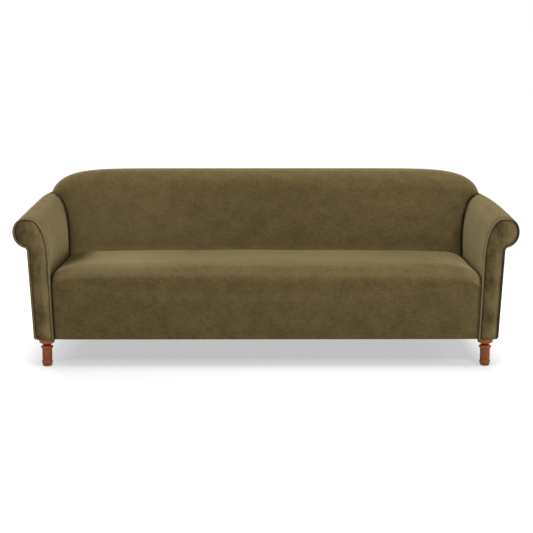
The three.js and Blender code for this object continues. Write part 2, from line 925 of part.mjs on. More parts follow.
function backProfile(x, inset) {
  const topZ = archTopAt(x) - inset;
  const faceTop = topZ - crestFrontRise + inset;
  const share = Math.abs(x) / archHalfWidth;
  const fullness = 1 - share ** seatSidePower;
  const points = [];
  const faceSteps = 5;
  const bulgeFoot = seatHeight;
  for (let i = 0; i <= faceSteps; i++) {
    const z = i ? bulgeFoot + ((i - 1) / (faceSteps - 1)) * (faceTop - bulgeFoot) : backBottom;
    const along = Math.max(0, z - bulgeFoot) / (faceTop - bulgeFoot);
    const bulge = lumbarBulge * fullness * Math.sin(along * Math.PI);
    points.push([backFrontY(z) - bulge + inset, z]);
  }
  const rearEndZ = restAt(x);
  const crestY = rearY(rearEndZ) - crestRearRun;
  const startY = backFrontY(faceTop) + inset;
  const frontSteps = 6;
  for (let i = 1; i <= frontSteps; i++) {
    const angle = ((i / frontSteps) * Math.PI) / 2;
    points.push([
      startY + (crestY - startY) * (1 - Math.cos(angle) ** (2 / crestFrontPower)),
      faceTop + (topZ - faceTop) * Math.sin(angle) ** (2 / crestFrontPower),
    ]);
  }
  const rearSteps = 3;
  const endY = rearY(rearEndZ) - wrap - inset;
  for (let i = 1; i <= rearSteps; i++) {
    const angle = ((i / rearSteps) * Math.PI) / 2;
    points.push([
      crestY + (endY - crestY) * Math.sin(angle),
      rearEndZ + (topZ - rearEndZ) * Math.cos(angle),
    ]);
  }
  return points;
}

const backRow = (x, profile) => profile.map(([y, z]) => new THREE.Vector3(x, y, z));
const armRoomRight = armRoom(gap);
const armRoomLeft = mirrored(armRoomRight);

addPiece(
  "back_cover",
  cut(
    sheetBetween(
      backPlaces.map((x) => backRow(x, backProfile(x, 0))),
      backPlaces.map((x) => backRow(x, backProfile(x, fabric))),
    ),
    armRoomRight,
    armRoomLeft,
  ),
  velvet,
);

function backFoamRow(x) {
  const restZ = restAt(x);
  return backRow(x, [
    ...backProfile(x, wrap),
    [supportY(restZ) - gap, restZ],
    [supportY(backBottom) - gap, backBottom],
  ]);
}

addPiece(
  "back_foam",
  cut(loftRings(backPlaces.map(backFoamRow), inYZ), armRoomRight, armRoomLeft),
  foamYellow,
);

// Outside back: one flat panel cut to the arms and the arch

function outsideBackOutline() {
  const arm = armOutline(armRise, undersideHeight);
  const crossing = arm.findIndex(([x, z]) => x > archHalfWidth && z > shoulderHeight);
  const roll = arm.slice(crossing);
  const centreZ = armRearTop - rollRadius;
  const meetZ = centreZ + Math.sqrt(rollRadius ** 2 - shoulderOverhang ** 2);
  const half = [...roll.reverse(), [archHalfWidth, meetZ]];
  const archShares = [0.993, 0.982, 0.965, 0.935, 0.89, 0.82, 0.7, 0.5, 0.25];
  for (const share of archShares) {
    const x = share * archHalfWidth;
    half.push([x, archTopAt(x)]);
  }
  return half.map(([x, z]) =>
    z > meetZ ? [x, Math.max(meetZ, z - crestRearRise)] : [x, z],
  );
}

function outsideBackRing(yAt) {
  const half = outsideBackOutline();
  const middle = [[0, archTopAt(0) - crestRearRise]];
  const left = half.map(([x, z]) => [-x, z]).reverse();
  return [...half, ...middle, ...left].map(
    ([x, z]) => new THREE.Vector3(x, yAt(z), z),
  );
}

addPiece(
  "outside_back_cover",
  loftRings([outsideBackRing((z) => rearY(z) - fabric), outsideBackRing(rearY)], inXZ),
  velvet,
);

// Arms: pad, cover, padded front panel and its piping

const armRearAt = (z) => rearY(z) - wrap;

function armPadRing(points, climb) {
  const hollowTop = armHeight + climb - 2 * rollRadius + neckFillet / 2;
  const innerX = sideRailInnerX - gap;
  const lifted = points.map(([x, z]) => [x, Math.max(z, frameBottom)]);
  return [
    ...lifted,
    [armOuterBottomX - wrap - armPadThickness, frameBottom],
    [armNeckX - wrap - armPadThickness, hollowTop],
    [armBoardInnerX, hollowTop],
    [innerX, Math.max(shoulderHeight, armTackRailTop + gap)],
    [innerX, armTuckHeight],
  ];
}

addPair(
  "arm_pad",
  cut(
    loftRings(armRows(frameFrontY, armRearAt, wrap, armTuckHeight, armPadRing), inXZ),
    backFrameRoom(),
    loftRings(armBoardRings(gap, armPadThickness), inXZ),
  ),
  foamYellow,
);

addPair(
  "arm_cover",
  cut(
    sheetBetween(
      armRows(postFrontY, armRearAt, 0, armTuckHeight),
      armRows(postFrontY, armRearAt, fabric, armTuckHeight),
    ),
    backFrameRoom(),
  ),
  velvet,
);

const pipingY = facingBackY - pipingRadius;
const pipingInset = pipingRadius - pipingProud;
const facingInset = pipingInset + pipingRadius + gap;

function facingRing(y, inset) {
  const outline = insetOutline(
    armOutline(climbAt(pipingY), undersideHeight + gap),
    inset,
  );
  return outline.map(([x, z]) => new THREE.Vector3(x, y, z));
}

addPair(
  "arm_facing",
  loftRings(
    [
      facingRing(facingBackY, facingInset),
      facingRing(facingFrontY + facingBevel, facingInset),
      facingRing(facingFrontY, facingInset + facingBevel),
    ],
    inXZ,
  ),
  velvet,
);

function pipingRings() {
  const sides = 6;
  const outline = armOutline(climbAt(pipingY), undersideHeight);
  const lines = Array.from({ length: sides }, (_, side) => {
    const angle = (2 * Math.PI * (side + 0.5)) / sides;
    const inset = pipingInset + pipingRadius * Math.cos(angle);
    const y = pipingY + pipingRadius * Math.sin(angle);
    return insetOutline(outline, inset).map(([x, z]) => new THREE.Vector3(x, y, z));
  });
  return outline.map((_, i) => lines.map((line) => line[i]));
}

addPair("arm_piping", loftTube(pipingRings()), velvet);

// Underside: black dust cover between the legs

function dustCoverRing(z) {
  const wideX = sideRailInnerX + dustCoverLap;
  const narrowX = legX - legTopRadius - dustCoverMargin;
  const frontY = facingFrontY + seatSideTuck + coverReturn + gap;
  const notchFrontY = frontLegY + legTopRadius + dustCoverMargin;
  const notchRearY = rearLegY - rearLegTop / 2 - dustCoverMargin;
  const half = [
    [narrowX, frontY],
    [narrowX, notchFrontY],
    [wideX, notchFrontY],
    [wideX, notchRearY],
    [narrowX, notchRearY],
    [narrowX, frameRearY(frameBottom)],
  ];
  const left = half.map(([x, y]) => [-x, y]).reverse();
  return [...half, ...left].map(([x, y]) => new THREE.Vector3(x, y, z));
}

addPiece(
  "dust_cover",
  loftRings(
    [dustCoverRing(frameBottom - gap - dustCoverThickness), dustCoverRing(frameBottom - gap)],
    inXY,
  ),
  blackCloth,
);

// Legs: turned in front, square and raked at the back, each on a threaded bolt

const legTop = frameBottom - gap;

// Shares of the leg's top radius and of its height, from the lower end of the top disc down to the foot
const turnedLegShares = [
  [1, 0.875],
  [0.95, 0.843],
  [0.83, 0.808],
  [0.6, 0.778],
  [0.46, 0.762],
  [0.46, 0.738],
  [0.6, 0.712],
  [0.74, 0.69],
  [0.765, 0.662],
  [0.74, 0.635],
  [0.61, 0.615],
  [0.58, 0.59],
  [0.545, 0.575],
  [0.565, 0.556],
  [0.55, 0.21],
  [0.62, 0.187],
  [0.655, 0.147],
  [0.62, 0.107],
  [0.54, 0.09],
  [0.54, 0.05],
  [0.5, 0.018],
  [0.42, 0],
];

function turnedLeg() {
  const boreFoot = legTop - boltInLeg - gap;
  const profile = [
    [0, boreFoot],
    [boreRadius, boreFoot],
    [boreRadius, legTop],
    [legTopRadius, legTop],
    ...turnedLegShares.map(([r, z]) => [r * legTopRadius, z * legTop]),
    [0, 0],
  ].map(([r, z]) => new THREE.Vector2(r, z));
  const turns = 20;
  const geometry = new THREE.LatheGeometry(profile.reverse(), turns);
  return geometry.rotateX(Math.PI / 2).translate(legX, frontLegY, 0);
}

addPair("front_leg", turnedLeg(), stainedWood);

function rakedLeg() {
  const ringAt = (z, size, y) => {
    const half = size / 2;
    return [
      new THREE.Vector3(legX - half, y - half, z),
      new THREE.Vector3(legX + half, y - half, z),
      new THREE.Vector3(legX + half, y + half, z),
      new THREE.Vector3(legX - half, y + half, z),
    ];
  };
  const block = loftRings(
    [
      ringAt(0, rearLegBottom, rearLegY + rearLegRake),
      ringAt(legTop, rearLegTop, rearLegY),
    ],
    inXY,
  );
  const bore = uprightCylinder(
    legX,
    rearLegY,
    legTop - boltInLeg - gap,
    legTop + overcut,
    boreRadius,
    boreSides,
  );
  return cut(block, bore);
}

addPair("rear_leg", rakedLeg(), stainedWood);

const boltSides = 12;
const legBolt = (y) =>
  uprightCylinder(
    legX,
    y,
    legTop - boltInLeg,
    frameBottom + boltInRail,
    boltRadius,
    boltSides,
  );

addPair("front_leg_bolt", legBolt(frontLegY), springSteel);
addPair("rear_leg_bolt", legBolt(rearLegY), springSteel);

export default sofa;
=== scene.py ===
import math
import bmesh
import bpy
import numpy as np
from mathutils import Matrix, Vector, geometry, noise
from mathutils.bvhtree import BVHTree


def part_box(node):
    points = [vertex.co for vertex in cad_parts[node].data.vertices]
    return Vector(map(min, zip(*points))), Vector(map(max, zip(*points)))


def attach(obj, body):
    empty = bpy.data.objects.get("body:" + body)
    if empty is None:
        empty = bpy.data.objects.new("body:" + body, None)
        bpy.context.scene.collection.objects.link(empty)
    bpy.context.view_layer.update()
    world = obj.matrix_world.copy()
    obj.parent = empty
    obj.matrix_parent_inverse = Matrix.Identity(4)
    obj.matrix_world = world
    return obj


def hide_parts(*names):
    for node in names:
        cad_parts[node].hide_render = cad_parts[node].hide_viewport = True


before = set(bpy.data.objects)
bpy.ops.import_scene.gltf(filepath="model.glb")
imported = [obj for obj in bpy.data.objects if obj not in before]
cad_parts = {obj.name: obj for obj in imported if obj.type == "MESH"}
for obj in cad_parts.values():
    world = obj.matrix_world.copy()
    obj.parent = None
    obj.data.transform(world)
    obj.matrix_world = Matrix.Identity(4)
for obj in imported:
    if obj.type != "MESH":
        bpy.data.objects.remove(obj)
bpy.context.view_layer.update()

# Studio
# The sofa stands on a white floor that runs out into white. A wide soft box hangs over it, the key stands
# at the front right, a weaker one at the front left, and two small ones light its edges from behind.

scene = bpy.context.scene
scene.view_settings.view_transform = "Standard"

frame_width_px = 533
focal_length_px = 1323.6
sensor_width_mm = 36
camera_pitch = 7.844
camera_turn = -0.32

camera_data = bpy.data.cameras.new("camera")
camera_data.sensor_width = sensor_width_mm
camera_data.lens = focal_length_px / frame_width_px * sensor_width_mm
camera = bpy.data.objects.new("camera", camera_data)
camera.location = (-0.030, -5.910, 1.190)
camera.rotation_euler = (math.radians(90 - camera_pitch), 0, math.radians(camera_turn))
scene.collection.objects.link(camera)
scene.camera = camera


def linear(hex_colour):
    """An sRGB hex colour as the linear red, green, blue and alpha that a socket takes."""
    shares = [int(hex_colour[i : i + 2], 16) / 255 for i in (1, 3, 5)]
    return [s / 12.92 if s <= 0.04045 else ((s + 0.055) / 1.055) ** 2.4 for s in shares] + [1]


def add(tree, kind, inputs=None, **settings):
    """Adds a node with its settings. inputs gives each socket a value or another node's output."""
    made = tree.nodes.new(kind)
    for name, value in settings.items():
        setattr(made, name, value)
    for socket, value in (inputs or {}).items():
        if isinstance(value, bpy.types.NodeSocket):
            tree.links.new(value, made.inputs[socket])
        else:
            made.inputs[socket].default_value = value
    return made


def seen_directly(tree):
    """1 where the eye sees the surface itself or its mirror image, and 0 for the light that it gives."""
    rays = add(tree, "ShaderNodeLightPath")
    mirrored = add(
        tree,
        "ShaderNodeMath",
        {0: rays.outputs["Is Glossy Ray"], 1: rays.outputs["Is Transmission Ray"]},
        operation="MAXIMUM",
    )
    return add(
        tree,
        "ShaderNodeMath",
        {0: rays.outputs["Is Camera Ray"], 1: mirrored.outputs[0]},
        operation="MAXIMUM",
    ).outputs[0]


world = bpy.data.worlds.new("white_room")
world.use_nodes = True
scene.world = world
world.node_tree.nodes.clear()
room_light = add(
    world.node_tree, "ShaderNodeBackground", {"Color": (1, 1, 1, 1), "Strength": 0.08}
)
white_wall = add(
    world.node_tree, "ShaderNodeBackground", {"Color": (1, 1, 1, 1), "Strength": 1.0}
)
room = add(
    world.node_tree,
    "ShaderNodeMixShader",
    {0: seen_directly(world.node_tree), 1: room_light.outputs[0], 2: white_wall.outputs[0]},
)
add(world.node_tree, "ShaderNodeOutputWorld", {"Surface": room.outputs[0]})


def soft_box(name, place, aim, size, power):
    """A rectangular soft light that hangs at a place and points at another."""
    data = bpy.data.lights.new(name, "AREA")
    data.shape = "RECTANGLE"
    data.size, data.size_y = size
    data.energy = power
    lamp = bpy.data.objects.new(name, data)
    lamp.location = place
    lamp.rotation_euler = (Vector(aim) - Vector(place)).to_track_quat("-Z", "Y").to_euler()
    lamp.visible_camera = False
    scene.collection.objects.link(lamp)


soft_box("overhead_box", (0.4, -0.6, 3.2), (0.0, -0.1, 0.3), (4.6, 2.4), 143)
soft_box("key_box_right", (2.4, -4.6, 3.2), (0.0, 0.0, 0.4), (0.9, 0.9), 106)
soft_box("fill_box_left", (-2.4, -4.6, 3.2), (0.0, 0.0, 0.4), (0.9, 0.9), 45)
soft_box("side_box_right", (4.4, -1.2, 2.2), (0.0, 0.0, 0.4), (1.2, 1.2), 37)
soft_box("rear_box_left", (-3.0, 2.0, 2.6), (0.0, 0.0, 0.4), (1.2, 1.2), 56)

floor_half_width = 30
floor_mesh = bpy.data.meshes.new("floor")
corners = [(-1, -1), (1, -1), (1, 1), (-1, 1)]
floor_mesh.from_pydata(
    [(x * floor_half_width, y * floor_half_width, 0) for x, y in corners], [], [(0, 1, 2, 3)]
)
floor = bpy.data.objects.new("floor", floor_mesh)
scene.collection.objects.link(floor)

# White painted board, matt. It bounces light as white paint does, and is seen a little darker, so that the
# whole of the sofa's soft shadow shows on it. Beside the sofa and far from it, it is as bright as the wall.
board = bpy.data.materials.new("matt_white_studio_board")
board.use_nodes = True
tree = board.node_tree
tree.nodes.clear()
seen = seen_directly(tree)
board_colour = add(
    tree,
    "ShaderNodeMix",
    {0: seen, 6: linear("#ededed"), 7: linear("#a2a2a2")},
    data_type="RGBA",
)
paint = add(tree, "ShaderNodeBsdfDiffuse", {"Color": board_colour.outputs[2]})
glow_near, glow_far = 0.52, 1.0
ring_from, ring_to = 1.6, 3.5
side_from, side_to = 0.94, 1.16
place = add(tree, "ShaderNodeTexCoord")
reach = add(tree, "ShaderNodeVectorMath", {0: place.outputs["Object"]}, operation="LENGTH")
across = add(tree, "ShaderNodeSeparateXYZ", {0: place.outputs["Object"]})
aside = add(tree, "ShaderNodeMath", {0: across.outputs["X"]}, operation="ABSOLUTE")
fades = [
    add(tree, "ShaderNodeMapRange", {0: far, 1: start, 2: end, 3: glow_near, 4: glow_far})
    for far, start, end in (
        (reach.outputs["Value"], ring_from, ring_to),
        (aside.outputs[0], side_from, side_to),
    )
]
fade = add(
    tree, "ShaderNodeMath", {0: fades[0].outputs[0], 1: fades[1].outputs[0]}, operation="MAXIMUM"
)
shown = add(tree, "ShaderNodeMath", {0: fade.outputs[0], 1: seen}, operation="MULTIPLY")
glow = add(tree, "ShaderNodeEmission", {"Color": (1, 1, 1, 1), "Strength": shown.outputs[0]})
lit = add(tree, "ShaderNodeAddShader", {0: paint.outputs[0], 1: glow.outputs[0]})
add(tree, "ShaderNodeOutputMaterial", {"Surface": lit.outputs[0]})
floor_mesh.materials.append(board)

# Frame
# The hardwood frame is glued and dowelled: beech rails, plywood posts and arch. It is all inside the
# covers, and only its finish is given here.

mm = 0.001


def surface(name):
    """A new material, its node tree, its shader and the node that gives the piece's own coordinates."""
    material = bpy.data.materials.new(name)
    material.use_nodes = True
    tree = material.node_tree
    tree.nodes.clear()
    shader = add(tree, "ShaderNodeBsdfPrincipled")
    add(tree, "ShaderNodeOutputMaterial", {"Surface": shader.outputs[0]})
    place = add(tree, "ShaderNodeTexCoord")
    return material, tree, shader, place


def blend_of(tree, share, low_colour, high_colour, low=0.0, high=1.0):
    """Two colours mixed by a share, which is spread from low and high to the full range first."""
    spread = add(tree, "ShaderNodeMapRange", {0: share, 1: low, 2: high})
    return add(
        tree,
        "ShaderNodeMix",
        {0: spread.outputs[0], 6: low_colour, 7: high_colour},
        data_type="RGBA",
    ).outputs[2]


def set_finish(tree, shader, tone, roughness, relief=None):
    """Gives a shader its colour and roughness, and the fine relief that the values of relief describe."""
    tree.links.new(tone, shader.inputs["Base Color"])
    shader.inputs["Roughness"].default_value = roughness
    if relief:
        bump = add(tree, "ShaderNodeBump", relief)
        tree.links.new(bump.outputs[0], shader.inputs["Normal"])


def wood(name, light, dark, grain_scale, roughness):
    """Straight-grained wood: streaks that run along one axis, with fine pores in them."""
    material, tree, shader, place = surface(name)
    along = add(
        tree, "ShaderNodeMapping", {"Vector": place.outputs["Object"], "Scale": grain_scale}
    )
    figure = add(
        tree,
        "ShaderNodeTexNoise",
        {"Vector": along.outputs[0], "Scale": 1.0, "Detail": 5.0, "Distortion": 0.6},
    )
    tone = blend_of(tree, figure.outputs[0], linear(dark), linear(light), 0.3, 0.7)
    pores = {"Height": figure.outputs[0], "Strength": 0.15, "Distance": 0.4 * mm}
    set_finish(tree, shader, tone, roughness, pores)
    return material


# Beech, planed: pale pinkish brown, with streaks 6 mm apart that run along each rail.
streak, run = 1 / (6 * mm), 1 / (150 * mm)
beech_along = {
    "x": wood("planed_beech_along_x", "#d3ab7d", "#b98a5c", (run, streak, streak), 0.6),
    "y": wood("planed_beech_along_y", "#d3ab7d", "#b98a5c", (streak, run, streak), 0.6),
}
# Birch plywood, sawn: the glued veneers show as thin bands on its edges.
veneer_bands = (1 / (90 * mm), 1 / (2 * mm), run)
plywood = wood("sawn_birch_plywood", "#dcc39c", "#b5966a", veneer_bands, 0.75)


def refinish(names, material):
    """Gives nodes that are kept as they are their real finish."""
    for name in names:
        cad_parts[name].material_slots[0].material = material


sides = {"right": 1, "left": -1}


def on_both(*names):
    """The names of the nodes of both sides."""
    return [name + "_" + side for name in names for side in sides]


refinish(
    ["front_rail", "rear_spring_rail", "back_tack_rail", "back_bottom_rail"]
    + on_both("front_corner_block", "rear_corner_block"),
    beech_along["x"],
)
refinish(on_both("side_rail", "seat_stretcher", "arm_top_board", "arm_tack_rail"), beech_along["y"])
refinish(
    ["back_top_rail", "back_support_panel"] + on_both("arm_front_post", "back_post", "back_upright"),
    plywood,
)

# Springs and bolts
# Zigzag springs of hard-drawn wire run from the front rail to the rear spring rail, and each leg hangs
# on one threaded bolt. The wire is oiled, and the bolts are zinc-plated.


def steel(name, colour, roughness):
    """Steel with the fine blotches that oil and handling leave."""
    material, tree, shader, place = surface(name)
    blotch = add(
        tree, "ShaderNodeTexNoise", {"Vector": place.outputs["Object"], "Scale": 1 / (12 * mm)}
    )
    tone = blend_of(tree, blotch.outputs[0], linear("#4c4e52"), linear(colour), 0.2, 0.6)
    set_finish(tree, shader, tone, roughness)
    shader.inputs["Metallic"].default_value = 1.0
    return material


spring_count = 10
refinish(
    ["seat_spring_%d" % (k + 1) for k in range(spring_count)],
    steel("drawn_spring_steel", "#8f9296", 0.4),
)
refinish(on_both("front_leg_bolt", "rear_leg_bolt"), steel("zinc_plated_steel", "#b4b7ba", 0.32))

# Insulator
# A pad of grey needled felt lies on the springs and keeps them from cutting into the foam. It is cut to
# the deck and stapled to the rails.


def box_between(name, low, high, cells):
    """A closed box between two corners, with cells along x and y on its upper and lower face."""
    bm = bmesh.new()
    nx, ny = cells
    across, along = np.linspace(low.x, high.x, nx + 1), np.linspace(low.y, high.y, ny + 1)
    lower, upper = (
        [[bm.verts.new((x, y, z)) for y in along] for x in across] for z in (low.z, high.z)
    )
    for i in range(nx):
        for j in range(ny):
            bm.faces.new([upper[i][j], upper[i + 1][j], upper[i + 1][j + 1], upper[i][j + 1]])
            bm.faces.new([lower[i][j], lower[i][j + 1], lower[i + 1][j + 1], lower[i + 1][j]])
    for i in range(nx):
        bm.faces.new([lower[i][0], lower[i + 1][0], upper[i + 1][0], upper[i][0]])
        bm.faces.new([lower[i + 1][ny], lower[i][ny], upper[i][ny], upper[i + 1][ny]])
    for j in range(ny):
        bm.faces.new([lower[0][j + 1], lower[0][j], upper[0][j], upper[0][j + 1]])
        bm.faces.new([lower[nx][j], lower[nx][j + 1], upper[nx][j + 1], upper[nx][j]])
    return piece_of(bm, name)


def piece_of(bm, name, sharp=55):
    """Turns a bmesh into a smooth-shaded object at the origin. Edges past sharp degrees stay crisp."""
    bmesh.ops.recalc_face_normals(bm, faces=bm.faces)
    for face in bm.faces:
        face.smooth = True
    for edge in bm.edges:
        edge.smooth = len(edge.link_faces) < 2 or edge.calc_face_angle() < math.radians(sharp)
    mesh = bpy.data.meshes.new(name)
    bm.to_mesh(mesh)
    bm.free()
    piece = bpy.data.objects.new(name, mesh)
    scene.collection.objects.link(piece)
    return piece


def settle(piece, material, slot, *nodes):
    """Gives a piece its finish, seats it on the sofa and hides the plain nodes that it stands for."""
    piece.data.materials.clear()
    piece.data.materials.append(material)
    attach(piece, "root")
    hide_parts(*nodes)


# Felt, needled: grey mixed fibres, with no thread direction and a fuzzy, dull face.
felt, tree, shader, place = surface("needled_grey_felt")
fibres = add(
    tree,
    "ShaderNodeTexNoise",
    {"Vector": place.outputs["Object"], "Scale": 1 / (3 * mm), "Detail": 4.0},
)
tone = blend_of(tree, fibres.outputs[0], linear("#6d6862"), linear("#a39d95"), 0.35, 0.65)
set_finish(tree, shader, tone, 1.0, {"Height": fibres.outputs[0], "Distance": 0.5 * mm})

felt_low, felt_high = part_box("spring_insulator")
felt_cells = (120, 40)
felt_pad = box_between("insulator_pad", felt_low, felt_high, felt_cells)
settle(felt_pad, felt, "felt", "spring_insulator")

# Front legs
# Each front leg is turned from one billet: a wide top disc, a neck, a bead, a plain shaft, a ring and a
# foot. It is stained red-brown, lacquered, and screwed up into the side rail.

# Shares of the top radius and of the height, from the lower end of the top disc down to the floor
turned_shares = [
    (1, 0.875), (0.97, 0.843), (0.88, 0.808), (0.68, 0.778), (0.52, 0.762), (0.5, 0.738),
    (0.64, 0.712), (0.76, 0.69), (0.78, 0.662), (0.755, 0.635), (0.67, 0.615), (0.64, 0.59),
    (0.615, 0.575), (0.632, 0.556), (0.63, 0.44), (0.627, 0.32), (0.622, 0.21), (0.665, 0.187),
    (0.69, 0.147), (0.665, 0.107), (0.61, 0.09), (0.605, 0.05), (0.56, 0.018), (0.47, 0),
]  # fmt: skip
steps_between = 5
turned_sides = 72


def eased(points):
    """A smooth line through points, with steps_between steps from each to the next."""
    line = []
    for i in range(len(points) - 1):
        before = points[max(i - 1, 0)]
        start, end = points[i], points[i + 1]
        after = points[min(i + 2, len(points) - 1)]
        for step in range(steps_between):
            t = step / steps_between
            line.append(
                [
                    b + 0.5 * t * (c - a + t * (2 * a - 5 * b + 4 * c - d + t * (3 * (b - c) + d - a)))
                    for a, b, c, d in zip(before, start, end, after)
                ]
            )
    return line + [list(points[-1])]


# Beech, turned, stained and lacquered: red-brown with darker grain up the leg and a satin gleam.
stained_wood = wood(
    "turned_beech_red_brown_satin_lacquer",
    "#8f4914",
    "#572606",
    (1 / (3 * mm), 1 / (3 * mm), 1 / (70 * mm)),
    0.42,
)
lacquer = next(n for n in stained_wood.node_tree.nodes if n.type == "BSDF_PRINCIPLED")
lacquer.inputs["Specular IOR Level"].default_value = 0.25
lacquer.inputs["Coat Weight"].default_value = 0.08
lacquer.inputs["Coat Roughness"].default_value = 0.25
# The turned grooves are darker and the beads paler: partly the stain, which gathers in the grooves and is
# rubbed thin on the beads, and partly painted shade in the grooves and painted highlights on the beads.
stain_tree = stained_wood.node_tree
stain = lacquer.inputs["Base Color"].links[0].from_socket
rubbed_stain_and_painted_light = add(stain_tree, "ShaderNodeAttribute", attribute_name="rubbed_stain_and_painted_light").outputs["Fac"]
stain = blend_of(stain_tree, rubbed_stain_and_painted_light, stain, linear("#ab652e"))
stain = blend_of(stain_tree, rubbed_stain_and_painted_light, linear("#2a1003"), stain, -1.0, 0.0)
stain_tree.links.new(stain, lacquer.inputs["Base Color"])
groove = 2.2 * mm
smoothed_steps = 13
top_disc_round = 1.2 * mm

for side in sides:
    low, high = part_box("front_leg_" + side)
    centre_x, centre_y = (low.x + high.x) / 2, (low.y + high.y) / 2
    top_radius, height = (high.x - low.x) / 2, high.z
    outline = [(top_radius - top_disc_round, height), (top_radius, height - top_disc_round)]
    outline += [(r * top_radius, z * height) for r, z in eased(turned_shares)]
    bm = bmesh.new()
    angles = [2 * math.pi * k / turned_sides for k in range(turned_sides)]
    rings = []
    for r, z in outline:
        rings.append(
            [bm.verts.new((centre_x + r * math.cos(a), centre_y + r * math.sin(a), z)) for a in angles]
        )
    for upper, lower in zip(rings, rings[1:]):
        for k in range(turned_sides):
            nxt = (k + 1) % turned_sides
            bm.faces.new([upper[k], upper[nxt], lower[nxt], lower[k]])
    bm.faces.new(rings[0])
    bm.faces.new(rings[-1])
    leg = piece_of(bm, "turned_leg_" + side, sharp=40)
    # How far each ring stands in or out: the stain, the painted shade and the painted highlights follow it.
    radii = np.array([r for r, z in outline])
    padded = np.pad(radii, smoothed_steps // 2, mode="edge")
    smoothed = np.convolve(padded, np.ones(smoothed_steps) / smoothed_steps, mode="valid")
    proud = np.clip((radii - smoothed) / groove, -1, 1)
    layer = leg.data.attributes.new("rubbed_stain_and_painted_light", "FLOAT", "POINT")
    layer.data.foreach_set("value", np.repeat(proud, turned_sides).astype(np.float32))
    settle(leg, stained_wood, "stained_wood", "front_leg_" + side)

# Rear legs
# The rear legs are plain: square, tapered and raked to the back. They have the same stain, and each has
# one bolt up into the side rail.

leg_edge = 2 * mm


def points_of(mesh):
    """The places of a mesh's points, one row each."""
    places = np.zeros(3 * len(mesh.vertices))
    mesh.vertices.foreach_get("co", places)
    return places.reshape(-1, 3)


for side in sides:
    points = points_of(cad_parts["rear_leg_" + side].data)
    foot = points[points[:, 2] < leg_edge]
    top = points[points[:, 2] > points[:, 2].max() - leg_edge]
    bm = bmesh.new()
    ends = []
    for ring in (foot, top):
        x0, y0 = ring.min(0)[:2]
        x1, y1, z1 = ring.max(0)
        ends.append([bm.verts.new((x, y, z1)) for x, y in ((x0, y0), (x1, y0), (x1, y1), (x0, y1))])
    foot_ring, top_ring = ends
    bm.faces.new(foot_ring)
    bm.faces.new(top_ring)
    for k in range(4):
        nxt = (k + 1) % 4
        bm.faces.new([foot_ring[k], foot_ring[nxt], top_ring[nxt], top_ring[k]])
    bmesh.ops.recalc_face_normals(bm, faces=bm.faces)
    bmesh.ops.bevel(
        bm, geom=bm.edges[:], offset=leg_edge, segments=4, affect="EDGES", profile=0.5
    )
    leg = piece_of(bm, "raked_leg_" + side, sharp=40)
    settle(leg, stained_wood, "stained_wood", "rear_leg_" + side)

# Arms
# Each arm is a padded roll over a sloping board. One piece of velvet comes up the inner face, over the
# roll, under its neck and down the outer face, and is turned under and stapled at the bottom.

overall_width = 2120 * mm
piping_proud = 2 * mm
roll_radius = 62 * mm
roll_fullness = 4 * mm
fullest_at = math.radians(45)
fullness_spread = math.radians(35)
lower_corner = 11 * mm
neck_fillet = 17 * mm
neck_offset = 5 * mm
shoulder_drop = 219 * mm
shoulder_power = 2.3
shoulder_reach = 85.2 * mm
inner_flare = 12 * mm
arm_foot_width = 81.2 * mm
arm_height = 634 * mm
arm_rise = 42 * mm
arm_rise_ease = 1.8
seat_depth = 580 * mm
rear_recline = math.radians(3.4)
back_recline = math.radians(16.4)
fabric = 2.5 * mm
gap = 0.3 * mm
back_pad = 90 * mm
back_panel = 4 * mm

front_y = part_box("arm_facing_right")[0].y
facing_back_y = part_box("arm_facing_right")[1].y
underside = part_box("outside_back_cover")[0].z
rear_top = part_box("outside_back_cover")[1]
seat_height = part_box("seat_cover")[1].z
tuck_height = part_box("front_rail")[1].z + (felt_high.z - felt_low.z)
frame_front_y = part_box("side_rail_right")[0].y
frame_side_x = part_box("side_rail_right")[1].x

roll_x = overall_width / 2 - piping_proud - roll_radius
shoulder_x = roll_x - shoulder_reach
inner_foot_x = shoulder_x - inner_flare
outer_foot_x = inner_foot_x + arm_foot_width
shoulder_height = arm_height - shoulder_drop
level_y = front_y + seat_depth


def climb_at(y):
    """How far the roll has climbed at a place along the arm."""
    left = min(max((level_y - y) / seat_depth, 0), 1)
    return arm_rise * (1 - left**arm_rise_ease)


def rear_at(z):
    """The plane of the outside back."""
    return rear_top.y - (rear_top.z - z) * math.tan(rear_recline)


def back_face_at(z):
    """The plane of the inside back, before its padding swells."""
    return level_y + (z - seat_height) * math.tan(back_recline)


def quarter(steps):
    """The angles of a quarter turn in a number of steps, without the one it starts from."""
    return np.linspace(0, math.pi / 2, steps + 1)[1:]


